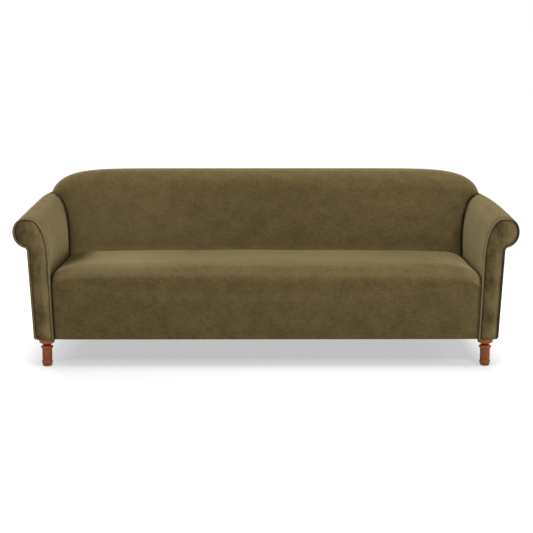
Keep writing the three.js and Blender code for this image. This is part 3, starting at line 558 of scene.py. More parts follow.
def arm_outline(climb, start_height):
    """The arm's outline as [x, z], from the inner lower edge over the roll to the outer lower edge."""
    top = arm_height + climb
    centre_z = top - roll_radius
    start_share = (start_height - underside) / (shoulder_height - underside)
    line = [
        (inner_foot_x + inner_flare * (start_share + t * (1 - start_share)), z)
        for t, z in zip(np.linspace(0, 1, 13), np.linspace(start_height, shoulder_height, 13))
    ]
    for angle in quarter(29):
        line.append(
            (
                roll_x - shoulder_reach * math.cos(angle) ** (2 / shoulder_power),
                shoulder_height + (top - shoulder_height) * math.sin(angle) ** (2 / shoulder_power),
            )
        )
    aside = neck_fillet + neck_offset
    drop = math.sqrt((roll_radius + neck_fillet) ** 2 - aside**2)
    meet = math.atan2(-drop, aside)
    for angle in np.linspace(math.pi / 2, meet, 40)[1:]:
        radius = roll_radius + roll_fullness * math.exp(-(((angle - fullest_at) / fullness_spread) ** 2))
        line.append((roll_x + radius * math.cos(angle), centre_z + radius * math.sin(angle)))
    for angle in np.linspace(math.pi + meet, math.pi, 12)[1:]:
        line.append(
            (roll_x + aside + neck_fillet * math.cos(angle), centre_z - drop + neck_fillet * math.sin(angle))
        )
    neck = np.array(line[-1])
    corner = np.array((outer_foot_x, underside))
    corner_start = corner + (neck - corner) * lower_corner / np.linalg.norm(neck - corner)
    line += [tuple(neck + t * (corner_start - neck)) for t in np.linspace(0, 1, 34)[1:]]
    for angle in quarter(6):
        line.append(
            (
                corner_start[0] - lower_corner * (1 - math.cos(angle)),
                underside + lower_corner * (1 - math.sin(angle)),
            )
        )
    return np.array(line)


def drawn_in(line, inset):
    """A line [x, z] moved to its right by an inset, which may differ from point to point."""
    along = np.gradient(line, axis=0)
    along /= np.linalg.norm(along, axis=1)[:, None]
    right = np.stack([along[:, 1], -along[:, 0]], 1)
    return line + right * np.broadcast_to(inset, len(line))[:, None]


def swell(points, wave, seed):
    """A slow, smooth unevenness between -1 and 1 at each point, as hand-laid padding has."""
    shift = Vector((seed * 7.3, seed * 3.1, seed * 5.7))
    return np.array([noise.noise(Vector(p) / wave + shift) for p in points])


crease_angle = math.radians(50)


def solid(name, points, faces, cloth=None):
    """A closed, smooth-shaded piece, faces out. cloth gives each point its place on the flat cloth."""
    points = np.array(points, float)
    corners = [points[[f[i] for f in faces if len(f) > 2]] for i in range(3)]
    if np.einsum("ij,ij->i", corners[0], np.cross(corners[1], corners[2])).sum() < 0:
        faces = [f[::-1] for f in faces]
    mesh = bpy.data.meshes.new(name)
    mesh.from_pydata(points.tolist(), [], faces)
    if cloth is not None:
        of_loop = np.zeros(len(mesh.loops), int)
        mesh.loops.foreach_get("vertex_index", of_loop)
        layer = mesh.uv_layers.new(name="cloth_in_metres")
        layer.data.foreach_set("uv", np.array(cloth, np.float32)[of_loop].ravel())
    mesh.shade_smooth()
    mesh.set_sharp_from_angle(angle=crease_angle)
    piece = bpy.data.objects.new(name, mesh)
    scene.collection.objects.link(piece)
    return piece


def run_along(grid, axis):
    """Distance along the lines of a grid of points [row, column, xyz], from their middle."""
    steps = np.linalg.norm(np.diff(grid, axis=axis), axis=2)
    pad = [(0, 0), (0, 0)]
    pad[axis] = (1, 0)
    total = np.pad(np.cumsum(steps, axis=axis), pad)
    return total - np.take(total, [total.shape[axis] // 2], axis=axis)


def shell(name, outer, inner):
    """A closed shell between two grids of points [row, column, xyz]."""
    rows, columns = outer.shape[:2]
    out = np.arange(rows * columns).reshape(rows, columns)
    back = out + rows * columns
    faces = []
    for i in range(rows - 1):
        for j in range(columns - 1):
            faces.append([out[i, j], out[i, j + 1], out[i + 1, j + 1], out[i + 1, j]])
            faces.append([back[i, j], back[i + 1, j], back[i + 1, j + 1], back[i, j + 1]])
    for j in range(columns - 1):
        faces.append([out[0, j], back[0, j], back[0, j + 1], out[0, j + 1]])
        faces.append([out[-1, j], out[-1, j + 1], back[-1, j + 1], back[-1, j]])
    for i in range(rows - 1):
        faces.append([out[i, 0], out[i + 1, 0], back[i + 1, 0], back[i, 0]])
        faces.append([out[i, -1], back[i, -1], back[i + 1, -1], out[i + 1, -1]])
    cloth = np.stack([run_along(outer, 1), run_along(outer, 0)], 2).reshape(-1, 2)
    points = np.concatenate([outer.reshape(-1, 3), inner.reshape(-1, 3)])
    return solid(name, points, faces, np.concatenate([cloth, cloth]))


# Cotton velvet, woven and cut: dense upright pile, dark where the eye looks into it and pale where it looks
# across it. The pile is pressed one way and the other in patches a hand wide, and the ground weave shows
# as faint lines. The threads are 0.5 mm apart, so the lines are drawn 4 mm apart to show at all. Light and
# shade are painted on as well: a value on each point mixes in painted shade, down to deep brown, or painted
# light, up to pale, for seams, shadows and the side that the light comes from.
nap_contrast = 0.17


def velvet_of(name, dark, light, lines, patches=0.4, sheen=0.55):
    """lines gives the reach along and across the cloth of each set of faint lines, and its strength."""
    velvet, tree, shader, place = surface(name)
    cloth = place.outputs["UV"]
    pressed = add(
        tree,
        "ShaderNodeTexNoise",
        {"Vector": cloth, "Scale": 1 / (90 * mm), "Detail": 3.0, "Roughness": 0.6, "Distortion": 0.3},
    )
    nap = add(tree, "ShaderNodeMath", {0: pressed.outputs[0], 1: patches}, operation="MULTIPLY")
    middle = patches / 2
    for reach_u, reach_v, strength in lines:
        stretched = add(
            tree, "ShaderNodeMapping", {"Vector": cloth, "Scale": (1 / reach_u, 1 / reach_v, 1)}
        )
        streaks = add(
            tree, "ShaderNodeTexNoise", {"Vector": stretched.outputs[0], "Scale": 1.0, "Detail": 3.0}
        )
        nap = add(
            tree,
            "ShaderNodeMath",
            {0: streaks.outputs[0], 1: strength, 2: nap.outputs[0]},
            operation="MULTIPLY_ADD",
        )
        middle += strength / 2
    darkest, palest = middle - nap_contrast, middle + nap_contrast
    tone = blend_of(tree, nap.outputs[0], linear(dark), linear(light), darkest, palest)
    # Painted light and shade: the value on each point mixes the colour towards pale above 0 and deep brown
    # below.
    shade_or_light = add(tree, "ShaderNodeAttribute", attribute_name="painted_light_and_shade").outputs["Fac"]
    tone = blend_of(tree, shade_or_light, tone, linear("#8f7f5b"))
    tone = blend_of(tree, shade_or_light, linear("#1d150b"), tone, -1.0, 0.0)
    set_finish(tree, shader, tone, 0.9)
    shader.inputs["Specular IOR Level"].default_value = 0.08
    shader.inputs["Sheen Weight"].default_value = sheen
    shader.inputs["Sheen Roughness"].default_value = 0.38
    shader.inputs["Sheen Tint"].default_value = linear("#cbbb8d")
    pile = add(
        tree,
        "ShaderNodeTexNoise",
        {"Vector": place.outputs["Object"], "Scale": 1 / (2.5 * mm), "Detail": 2.0},
    )
    fuzz = add(
        tree,
        "ShaderNodeBump",
        {"Height": pile.outputs[0], "Strength": 0.25, "Distance": 0.6 * mm},
    )
    # Where shade is painted, the shading normal is turned towards the front of the sofa, so the painted shade
    # keeps no pale sheen edge where it is seen aslant.
    sheen_shade_tilt = add(tree, "ShaderNodeMapRange", {0: shade_or_light, 1: -1.0, 2: 0.0, 3: 0.85, 4: 0.0})
    shade_tilted_normal = add(
        tree,
        "ShaderNodeMix",
        {0: sheen_shade_tilt.outputs[0], 4: fuzz.outputs[0], 5: (0, -1, 0.1)},
        data_type="VECTOR",
    )
    turned = add(tree, "ShaderNodeVectorMath", {0: shade_tilted_normal.outputs[1]}, operation="NORMALIZE")
    tree.links.new(turned.outputs[0], shader.inputs["Normal"])
    return velvet


velvet = velvet_of(
    "cut_cotton_velvet_moss_olive",
    "#443921",
    "#5b4e30",
    [(32 * mm, 4 * mm, 0.6), (14 * mm, 12 * mm, 0.4), (4 * mm, 45 * mm, 0.25)],
    patches=0.45,
)


def paint_light_and_shade(piece, rule):
    """Paints light and shade on each point of a piece, from -1, painted shade, to 1, painted light."""
    mesh = piece.data
    normals = np.zeros(3 * len(mesh.vertices))
    mesh.vertex_normals.foreach_get("vector", normals)
    lean = rule(points_of(mesh), normals.reshape(-1, 3))
    layer = mesh.attributes.new("painted_light_and_shade", "FLOAT", "POINT")
    layer.data.foreach_set("value", np.clip(lean, -1, 1).astype(np.float32))


seam_round = 8 * mm
under_turn = 24 * mm
pad_depth = 11.2 * mm
cover_front_y = facing_back_y + gap


def between(low, high, at):
    """0 up to low and 1 from high, with a smooth climb between them."""
    share = min(max((at - low) / (high - low), 0), 1)
    return share * share * (3 - 2 * share)


# Places along the roll where its padding is measured, and how far it lifts the cover there on each side.
# It sinks a little where an elbow rests, and at the left the inside back presses it up.
padding_places = [y * mm for y in (-400, -300, -200, -100, 0, 100, 180, 260)]
padding_lifts = {
    "right": [lift * mm for lift in (1.5, -1, -3, -4, -4, -3, -1, 0)],
    "left": [lift * mm for lift in (-1, -3, -5.5, -6, -5, -2, 3, 7)],
}


def padding_at(y, lifts):
    """How far the padding lifts the roll at a place along it, eased from each measured place to the next."""
    k = min(max(np.searchsorted(padding_places, y) - 1, 0), len(lifts) - 2)
    return lifts[k] + (lifts[k + 1] - lifts[k]) * between(padding_places[k], padding_places[k + 1], y)


def arm_grid(extra_inset, inner, lifts):
    """Points over one arm cover, row by row from the front seam to the back frame."""
    seam = [
        (cover_front_y + seam_round * (1 - math.cos(a)), seam_round * (1 - math.sin(a)), 0)
        for a in np.linspace(0, math.pi / 2, 7)
    ]
    even = [(y, 0, 0) for y in np.linspace(seam[-1][0], level_y, 46)[1:]]
    behind = [(level_y, 0, share) for share in (0.08, 0.16, 0.24, 0.32, 0.6, 1.0)]
    rows = []
    for row_y, seam_inset, share in seam + even + behind:
        typical_y = row_y + share * (rear_top.y - row_y)
        line = arm_outline(climb_at(typical_y) + padding_at(typical_y, lifts), tuck_height)
        depth = max(extra_inset, seam_inset) if inner else seam_inset
        if inner and typical_y > frame_front_y:
            depth = pad_depth
        line = drawn_in(line, depth)
        line[-1, 1] = underside
        ends = []
        for x, z in line:
            hidden = x < frame_side_x and z > tuck_height
            support = back_face_at(z) + back_pad + back_panel + gap
            ends.append(support if hidden else rear_at(z) - fabric - gap)
        depth_y = row_y + share * (np.array(ends) - row_y)
        turned = [(outer_foot_x - under_turn, underside + (fabric if inner else 0))]
        if inner:
            line[-1, 1] += fabric
        line = np.concatenate([line, turned])
        depth_y = np.append(depth_y, depth_y[-1])
        rows.append(np.stack([line[:, 0], depth_y, line[:, 1]], 1))
    return np.array(rows)


def swollen_arm(lifts, fullness):
    """The outer face of an arm cover. The padding is fuller on the roll, and slowly uneven all over."""
    grid = arm_grid(0, False, lifts)
    across = np.gradient(grid, axis=1)
    along = np.gradient(grid, axis=0)
    out = np.cross(across, along)
    out /= np.linalg.norm(out, axis=2)[..., None]
    x, y, z = grid[..., 0], grid[..., 1], grid[..., 2]
    climb = np.vectorize(lambda at: climb_at(at) + padding_at(at, lifts))(y)
    turn = np.degrees(np.arctan2(z - (arm_height + climb - roll_radius), x - roll_x))
    on_roll = np.clip((turn - 55) / 40, 0, 1) * np.clip((150 - turn) / 60, 0, 1) * (x > shoulder_x)
    behind_seam = 1 - np.exp(-np.clip(y - cover_front_y, 0, None) / (45 * mm))
    uneven = swell(grid.reshape(-1, 3), 220 * mm, 1).reshape(grid.shape[:2])
    room = np.clip((y - cover_front_y) / (60 * mm), 0, 1) * np.clip((z - underside) / (60 * mm), 0, 1)
    to_rear = np.clip((y + 320 * mm) / (200 * mm), 0, 1)
    lift = fullness * on_roll * behind_seam * (1 - 0.8 * to_rear) + 1.2 * mm * uneven * room
    return grid + out * lift[..., None]


stuffing_frames = 20
stuffing_pressure = 4


def stuffed(piece, free, most):
    """Presses the padding out against the velvet: a cloth simulation blows a welded copy of the piece up
    where it is free, and no point moves further than most. Returns where its points end up."""
    mesh = piece.data
    before = points_of(mesh)
    welded, index = np.unique(np.round(before, 6), axis=0, return_inverse=True)
    index = index.ravel()
    faces = [list(dict.fromkeys(index[list(face.vertices)].tolist())) for face in mesh.polygons]
    copy_mesh = bpy.data.meshes.new("stuffing")
    copy_mesh.from_pydata(welded.tolist(), [], [face for face in faces if len(face) > 2])
    copy = bpy.data.objects.new("stuffing", copy_mesh)
    scene.collection.objects.link(copy)
    held = copy.vertex_groups.new(name="held")
    held.add(np.unique(index[~free]).tolist(), 1.0, "REPLACE")
    cloth = copy.modifiers.new("stuffing", "CLOTH")
    cloth.settings.quality = 3
    cloth.settings.vertex_group_mass = "held"
    cloth.settings.use_pressure = True
    cloth.settings.uniform_pressure_force = stuffing_pressure
    cloth.settings.effector_weights.gravity = 0
    cloth.collision_settings.use_collision = False
    cloth.point_cache.frame_start, cloth.point_cache.frame_end = 1, stuffing_frames
    for step in range(1, stuffing_frames + 1):
        scene.frame_set(step)
    blown = copy.evaluated_get(bpy.context.evaluated_depsgraph_get())
    move = (points_of(blown.data) - welded)[index]
    move /= 1 + np.linalg.norm(move, axis=1)[:, None] / most
    bpy.data.objects.remove(copy)
    bpy.data.meshes.remove(copy_mesh)
    scene.frame_set(1)
    mesh.vertices.foreach_set("co", (before + move).ravel())
    mesh.update()
    return before + move


arm_fullness = 2.5 * mm
arm_faces = {}
for side, sign in sides.items():
    flip = np.array((sign, 1, 1))
    outer = swollen_arm(padding_lifts[side], arm_fullness) * flip
    inner = arm_grid(fabric, True, [0] * len(padding_places)) * flip
    cover = shell("arm_velvet_" + side, outer, inner)
    x, y, z = outer.reshape(-1, 3).T
    free = (y > cover_front_y + 20 * mm) & (y < level_y - 10 * mm) & (z > seat_height + 10 * mm)
    free &= sign * x < roll_x + 30 * mm
    free = np.concatenate([free, np.zeros(len(x), bool)])
    arm_faces[side] = stuffed(cover, free, 4 * mm)[: len(x)].reshape(outer.shape)
    settle(cover, velvet, "velvet", "arm_cover_" + side, "arm_pad_" + side)

# Arm front panels
# A thin plywood panel, wadded and covered in velvet, is pinned to the front of each arm and hides the
# staples of its cover.

piping_radius = 4.5 * mm
piping_inset = piping_radius - piping_proud
panel_inset = piping_inset + piping_radius + gap
piping_y = facing_back_y - piping_radius


def distance_to(points, line):
    """Distance of each point from the nearest stretch of a closed line."""
    starts, ends = line, np.roll(line, -1, axis=0)
    spans = ends - starts
    nearest = np.full(len(points), np.inf)
    for start, span in zip(starts, spans):
        length = span @ span
        if length == 0:
            continue
        t = np.clip(((points - start) @ span) / length, 0, 1)
        nearest = np.minimum(nearest, np.linalg.norm(points - start - t[:, None] * span, axis=1))
    return nearest


def filled(line, rings, spacing):
    """The points and triangles of a mesh inside a closed line: rows of points, and rings along the line."""
    points = [line]
    for ring in rings:
        for way in (1, -1):
            inner = drawn_in(line, way * ring)
            points.append(inner[distance_to(inner, line) > 0.93 * ring])
    x0, z0 = line.min(0)
    x1, z1 = line.max(0)
    step = spacing * math.sqrt(3) / 2
    for k, z in enumerate(np.arange(z0 + step / 2, z1, step)):
        row = np.arange(x0 + spacing / 2 * (k % 2), x1, spacing)
        row = np.stack([row, np.full(len(row), z)], 1)
        points.append(row[distance_to(row, line) > rings[-1] + 0.6 * spacing])
    points = np.concatenate(points)
    count = len(line)
    edges = [(i, (i + 1) % count) for i in range(count)]
    made = geometry.delaunay_2d_cdt([Vector(p) for p in points], edges, [], 1, 1e-7)
    used, corners = np.unique(np.array(made[2]), return_inverse=True)
    return np.array([tuple(made[0][i]) for i in used]), corners.reshape(-1, 3).tolist()


def two_sided(triangles, count):
    """Faces over two layers of count points each: the triangles of both layers, and the rim between them."""
    faces = triangles + [[i + count for i in t[::-1]] for t in triangles]
    edges = dict.fromkeys((t[i], t[(i + 1) % 3]) for t in triangles for i in range(3))
    return faces + [[b, a, a + count, b + count] for a, b in edges if (b, a) not in edges]


def padded_panel(name, line, rings, spacing, back_at, front_at):
    """A closed panel over a line. back_at and front_at give y at [x, z] and the distance from the edge."""
    flat, triangles = filled(line, rings, spacing)
    away = distance_to(flat, line)
    back = np.stack([flat[:, 0], back_at(flat, away), flat[:, 1]], 1)
    front = np.stack([flat[:, 0], front_at(flat, away), flat[:, 1]], 1)
    points = np.concatenate([back, front])
    return solid(name, points, two_sided(triangles, len(flat)), np.concatenate([flat, flat]))


def rounded_start(line, radius, steps=6):
    """A closed line whose first point is a square corner, with that corner rounded."""
    before, corner, after = line[-1], line[0], line[1]
    to_before = (before - corner) / np.linalg.norm(before - corner)
    to_after = (after - corner) / np.linalg.norm(after - corner)
    start, end = corner + to_before * radius, corner + to_after * radius
    turned = [(1 - t) ** 2 * start + 2 * t * (1 - t) * corner + t**2 * end for t in np.linspace(0, 1, steps)]
    return np.concatenate([turned, line[1:]])


def stepped(corners, step):
    """A closed line through corners, with points no more than a step apart."""
    line = []
    for start, end in zip(corners, np.roll(corners, -1, axis=0)):
        count = max(1, math.ceil(np.linalg.norm(end - start) / step))
        line += [start + (end - start) * k / count for k in range(count)]
    return np.array(line)


# The pile of this narrow panel is combed down, which leaves long streaks.
combed_velvet = velvet_of(
    "cut_cotton_velvet_combed_down",
    "#42361e",
    "#635538",
    [(15 * mm, 60 * mm, 0.5), (5 * mm, 22 * mm, 0.4)],
    patches=0.95,
)

panel_crown = 7 * mm
panel_edge = 21 * mm
panel_edge_power = 2.2
panel_foot = underside - 3 * mm
panel_corner = 9 * mm
panel_line = drawn_in(arm_outline(climb_at(piping_y), panel_foot), panel_inset)
panel_line[0, 1] = panel_line[-1, 1] = panel_foot
panel_line = stepped(rounded_start(panel_line, panel_corner), 5 * mm)


def panel_front(flat, away):
    """The wadded face: it rolls over at the edge and swells a little to the middle."""
    share = np.clip(away / panel_edge, 0, 1)
    rolled = (1 - (1 - share) ** panel_edge_power) ** (1 / panel_edge_power)
    uneven = swell(np.stack([flat[:, 0], flat[:, 1], flat[:, 0] * 0], 1), 60 * mm, 2)
    return facing_back_y - 2 * mm - (panel_crown + 0.5 * mm * uneven) * rolled


# Painted light and shade: both panels are painted dark at their left edges and pale at their right edges, as
# light from the right falls on them.
close_line = stepped(panel_line, 1 * mm)
level_steps = np.linspace(panel_line[:, 1].min(), panel_line[:, 1].max(), 120)
level_ends = np.array(
    [
        (beside.min(), beside.max())
        for beside in (close_line[np.abs(close_line[:, 1] - z) < 5 * mm, 0] for z in level_steps)
    ]
)


def panel_painted_light(points, sign):
    """Painted light and shade: pale to the right and dark to the left, and painted shade in the seam along
    the edge.
    """
    low_x, high_x = (np.interp(points[:, 2], level_steps, level_ends[:, k]) for k in (0, 1))
    across = sign * (2 * (sign * points[:, 0] - low_x) / (high_x - low_x) - 1)
    away = distance_to(points[:, [0, 2]] * (sign, 1), panel_line)
    return 0.36 * across - 0.75 * np.exp(-away / (2.8 * mm))


for side, sign in sides.items():
    panel = padded_panel(
        "arm_front_panel_" + side,
        panel_line * (sign, 1),
        [k * mm for k in (0.6, 1.4, 2.5, 4, 6, 8.5)],
        4 * mm,
        lambda flat, away: np.full(len(flat), facing_back_y),
        panel_front,
    )
    points = points_of(panel.data)
    away = distance_to(points[:, [0, 2]] * (sign, 1), panel_line)
    stuffed(panel, (away > 6 * mm) & (points[:, 1] < facing_back_y - 1 * mm), 3 * mm)
    paint_light_and_shade(panel, lambda points, normals: panel_painted_light(points, sign))
    settle(panel, combed_velvet, "velvet", "arm_facing_" + side)

# Arm piping
# A cotton cord in a bias strip of the same velvet runs round each front panel, in the seam between the
# panel and the arm's cover, and is tucked under at both ends.

# The strip is cut on the bias, so the faint lines of the weave run round the cord. It is coloured paler than
# the rest of the velvet, a painted highlight that lets the thin cord show as a pale line.
piping_velvet = velvet_of(
    "bias_cut_velvet_over_cord", "#5d5136", "#716446", [(5 * mm, 30 * mm, 0.5)], sheen=0.2
)

cord_tree = bpy.data.node_groups.new("cord_along_line", "GeometryNodeTree")
for label, kind in (("Line", "NodeSocketGeometry"), ("Radius", "NodeSocketFloat")):
    cord_tree.interface.new_socket(label, in_out="INPUT", socket_type=kind)
cord_tree.interface.new_socket("Cover", in_out="INPUT", socket_type="NodeSocketMaterial")
cord_tree.interface.new_socket("Cord", in_out="OUTPUT", socket_type="NodeSocketGeometry")
given = add(cord_tree, "NodeGroupInput")
path = add(cord_tree, "GeometryNodeMeshToCurve", {"Mesh": given.outputs["Line"]})
section = add(
    cord_tree, "GeometryNodeCurvePrimitiveCircle", {"Resolution": 16, "Radius": given.outputs["Radius"]}
)
measured = []
for curve in (path, section):
    reach = add(cord_tree, "GeometryNodeSplineParameter")
    note = cord_tree.nodes.new("GeometryNodeCaptureAttribute")
    note.capture_items.new("FLOAT", "Reach")
    cord_tree.links.new(curve.outputs[0], note.inputs["Geometry"])
    cord_tree.links.new(reach.outputs["Length"], note.inputs["Reach"])
    measured.append(note)
tube = add(
    cord_tree,
    "GeometryNodeCurveToMesh",
    {"Curve": measured[0].outputs[0], "Profile Curve": measured[1].outputs[0], "Fill Caps": True},
)
cloth_place = add(
    cord_tree,
    "ShaderNodeCombineXYZ",
    {"X": measured[0].outputs["Reach"], "Y": measured[1].outputs["Reach"]},
)
mapped = add(
    cord_tree,
    "GeometryNodeStoreNamedAttribute",
    {"Geometry": tube.outputs[0], "Name": "cloth_in_metres", "Value": cloth_place.outputs[0]},
    data_type="FLOAT2",
    domain="CORNER",
)
smooth = add(cord_tree, "GeometryNodeSetShadeSmooth", {"Geometry": mapped.outputs[0]})
whole = add(cord_tree, "GeometryNodeRealizeInstances", {"Geometry": smooth.outputs[0]})
dressed = add(
    cord_tree,
    "GeometryNodeSetMaterial",
    {"Geometry": whole.outputs[0], "Material": given.outputs["Cover"]},
)
add(cord_tree, "NodeGroupOutput", {"Cord": dressed.outputs[0]})


def grown(name, points, edges, tree, values):
    """Runs a node tree on a mesh of points and edges, and returns its result as a plain mesh piece."""
    mesh = bpy.data.meshes.new(name + "_line")
    mesh.from_pydata(points, edges, [])
    source = bpy.data.objects.new(name + "_line", mesh)
    scene.collection.objects.link(source)
    modifier = source.modifiers.new("grow", "NODES")
    modifier.node_group = tree
    for item in tree.interface.items_tree:
        if item.item_type == "SOCKET" and item.in_out == "INPUT" and item.name in values:
            modifier[item.identifier] = values[item.name]
    made = bpy.data.meshes.new_from_object(
        source.evaluated_get(bpy.context.evaluated_depsgraph_get())
    )
    source.modifiers.clear()
    bpy.data.objects.remove(source)
    made.name = name
    piece = bpy.data.objects.new(name, made)
    scene.collection.objects.link(piece)
    return piece


def piping_painted_shade(points, normals, sign):
    """Painted shade on the outer side of an arm, most at the right, and on both flanks of the cord in the
    seam.
    """
    flat = points[:, [0, 2]] * (sign, 1)
    step = np.array((1 * mm, 0))
    outward = (distance_to(flat + step, panel_line) - distance_to(flat - step, panel_line)) / (2 * step[0])
    darkest = 0.9 if sign > 0 else 0.25
    return 0.1 - np.clip(outward, 0, darkest) - 0.5 * np.clip(normals[:, 1] + 0.8, 0, 1)


piping_line = drawn_in(arm_outline(climb_at(piping_y), underside), piping_inset)
piping_line[0, 1] = piping_line[-1, 1] = underside
for side, sign in sides.items():
    points = [(x * sign, piping_y, z) for x, z in piping_line]
    piping = grown(
        "arm_piping_cord_" + side,
        points,
        [(i, i + 1) for i in range(len(points) - 1)],
        cord_tree,
        {"Radius": piping_radius, "Cover": piping_velvet},
    )
    bm = bmesh.new()
    bm.from_mesh(piping.data)
    bmesh.ops.recalc_face_normals(bm, faces=bm.faces)
    bm.to_mesh(piping.data)
    bm.free()
    paint_light_and_shade(piping, lambda points, normals: piping_painted_shade(points, normals, sign))
    settle(piping, piping_velvet, "velvet", "arm_piping_" + side)

# Seat
# The seat is tight: foam over the springs and over the front rail, in one piece of velvet that is pulled
# down the front, turned under the rail and stapled. It is drawn in and lower beside the arms.

seat_proud = 10 * mm
seat_side_tuck = 14 * mm
seat_side_drop = 16 * mm
seat_side_power = 7
seat_front_rise = 80 * mm
seat_front_run = 84 * mm
seat_corner_rise = 56 * mm
seat_corner_reach = 110 * mm
seat_front_power = 2.25
seat_corner_power = 2.3
seat_rear_fall = 3 * mm
seat_face_bulge = 3 * mm
seat_lower_radius = 8 * mm
seat_rear_radius = 11 * mm
cover_return = 36 * mm
seat_clearance = piping_proud + 2 * gap
foam_bottom = felt_high.z + gap


def seat_half_width(z):
    """Half the width between the arms, less a clearance, at a height."""
    up = min(max((z - underside) / (shoulder_height - underside), 0), 1)
    return shoulder_x - seat_clearance - inner_flare * (1 - up)


def seat_ring(share):
    """The closed section of the seat as [y, z], at a share of its half width."""
    fall = 1 - (1 - min(abs(share), 1) ** seat_side_power) ** (1 / seat_side_power)
    face_y = front_y - seat_proud + seat_side_tuck * fall
    top_z = seat_height - seat_side_drop * fall
    return_y = front_y + seat_side_tuck + cover_return
    ring = [(y, underside) for y in np.linspace(return_y, face_y + seat_lower_radius, 6)]
    for a in quarter(5):
        ring.append(
            (
                face_y + seat_lower_radius * (1 - math.sin(a)),
                underside + seat_lower_radius * (1 - math.cos(a)),
            )
        )
    face_foot = underside + seat_lower_radius
    from_side = (1 - abs(share)) * (shoulder_x - seat_clearance)
    corner = 1 - between(0, seat_corner_reach, from_side)
    power = seat_front_power + (seat_corner_power - seat_front_power) * corner
    face_top = top_z - seat_front_rise - (seat_corner_rise - seat_front_rise) * corner
    for t in np.linspace(0, 1, 24)[1:]:
        bulge = seat_face_bulge * (math.sin(t * math.pi) - t) * (1 - fall)
        ring.append((face_y - bulge, face_foot + t * (face_top - face_foot)))
    edge_y = ring[-1][0]
    for a in quarter(31):
        ring.append(
            (
                edge_y + seat_front_run * (1 - math.cos(a) ** (2 / power)),
                face_top + (top_z - face_top) * math.sin(a) ** (2 / power),
            )
        )
    rear_z = top_z - seat_rear_fall * (1 - fall)
    rear_y = back_face_at(rear_z) - fabric
    crest_y = edge_y + seat_front_run
    for t in np.linspace(0, 1, 40)[1:]:
        y = crest_y + t * (rear_y - seat_rear_radius - crest_y)
        ring.append((y, top_z + (rear_z - top_z) * t**2))
    for a in quarter(5):
        z = rear_z - seat_rear_radius * (1 - math.cos(a))
        lean = (z - rear_z) * math.tan(back_recline)
        ring.append((rear_y - seat_rear_radius * (1 - math.sin(a)) + lean, z))
    inner_y = frame_front_y - gap
    ring.append((back_face_at(foam_bottom) - fabric, foam_bottom))
    ring += [(y, foam_bottom) for y in np.linspace(back_face_at(foam_bottom), inner_y, 8)[1:]]
    ring += [(inner_y, underside + fabric), (return_y, underside + fabric)]
    return np.array(ring)


def mirrored_shares(half):
    """Shares from one side to the other, from those of one half that start at 0."""
    return [-s for s in half[:0:-1]] + list(half)


last_even_share = 0.93
even = list(np.linspace(0, last_even_share, 82))
fall_there = 1 - (1 - last_even_share**seat_side_power) ** (1 / seat_side_power)
rounded = [
    (1 - (1 - f) ** seat_side_power) ** (1 / seat_side_power)
    for f in np.linspace(fall_there, 1, 18)[1:]
]
seat_shares = mirrored_shares(even + rounded)


def loft(name, grid):
    """A closed solid through rings of points [ring, point, xyz], with a flat cap on each end."""
    rings, count = grid.shape[:2]
    index = np.arange(rings * count).reshape(rings, count)
    faces = []
    for i in range(rings - 1):
        for j in range(count):
            nxt = (j + 1) % count
            faces.append([index[i, j], index[i, nxt], index[i + 1, nxt], index[i + 1, j]])
    faces.append(list(index[0][::-1]))
    faces.append(list(index[-1]))
    cloth = np.stack([grid[..., 0], grid[..., 1] + grid[..., 2]], 2).reshape(-1, 2)
    return solid(name, grid.reshape(-1, 3), faces, cloth)


grid = []
for share in seat_shares:
    ring = seat_ring(share)
    grid.append([(share * seat_half_width(z), y, z) for y, z in ring])
grid = np.array(grid)

# The seat is crowned across its width. Beside the arms the foam is pulled down: deeper at the right,
# and more widely at the rear left.
seat_crown = 7 * mm
pull_ease = 0.7
pull_power = 2.2
front_reach = 100 * mm
pulls_beside = {
    "right": {"front": 45 * mm, "rear": 27 * mm, "rear_reach": 85 * mm},
    "left": {"front": 35 * mm, "rear": 15 * mm, "rear_reach": 150 * mm},
}
for side, sign in sides.items():
    pulls = pulls_beside[side]
    to_rear = np.clip((grid[..., 1] - front_y) / seat_depth, 0, 1) ** pull_ease
    reach = front_reach + (pulls["rear_reach"] - front_reach) * to_rear
    deepest = pulls["front"] + (pulls["rear"] - pulls["front"]) * to_rear
    from_side = shoulder_x - seat_clearance - sign * grid[..., 0]
    pull = deepest * np.clip(1 - from_side / reach, 0, 1) ** pull_power
    on_top = np.clip((grid[..., 2] - (seat_height - 100 * mm)) / (60 * mm), 0, 1)
    fallen = seat_crown * np.clip(sign * grid[..., 0] / shoulder_x, 0, 1) ** 2
    grid[..., 2] -= (pull + fallen) * on_top * (grid[..., 2] > foam_bottom + gap)
seat_top = (grid[..., 2] > foam_bottom + 10 * mm) | (grid[..., 1] < frame_front_y - 10 * mm)
edge_room = np.clip((1 - np.abs(np.array(seat_shares)))[:, None] / 0.06, 0, 1)
uneven = swell(grid.reshape(-1, 3), 260 * mm, 3).reshape(grid.shape[:2])
out = np.cross(np.gradient(grid, axis=1), np.gradient(grid, axis=0))
out /= np.linalg.norm(out, axis=2)[..., None] + 1e-12
lower_room = np.clip((grid[..., 2] - underside) / (40 * mm), 0, 1)
grid += out * (2.0 * mm * uneven * edge_room * seat_top * lower_room)[..., None]
seat = loft("seat_velvet", grid)
x, y, z = grid.reshape(-1, 3).T
free = (np.abs(x) < shoulder_x - 30 * mm) & (y < level_y - 30 * mm)
free &= ((z > foam_bottom + 30 * mm) | (y < front_y + 10 * mm)) & (z > underside + 30 * mm)
stuffed(seat, free, 5 * mm)


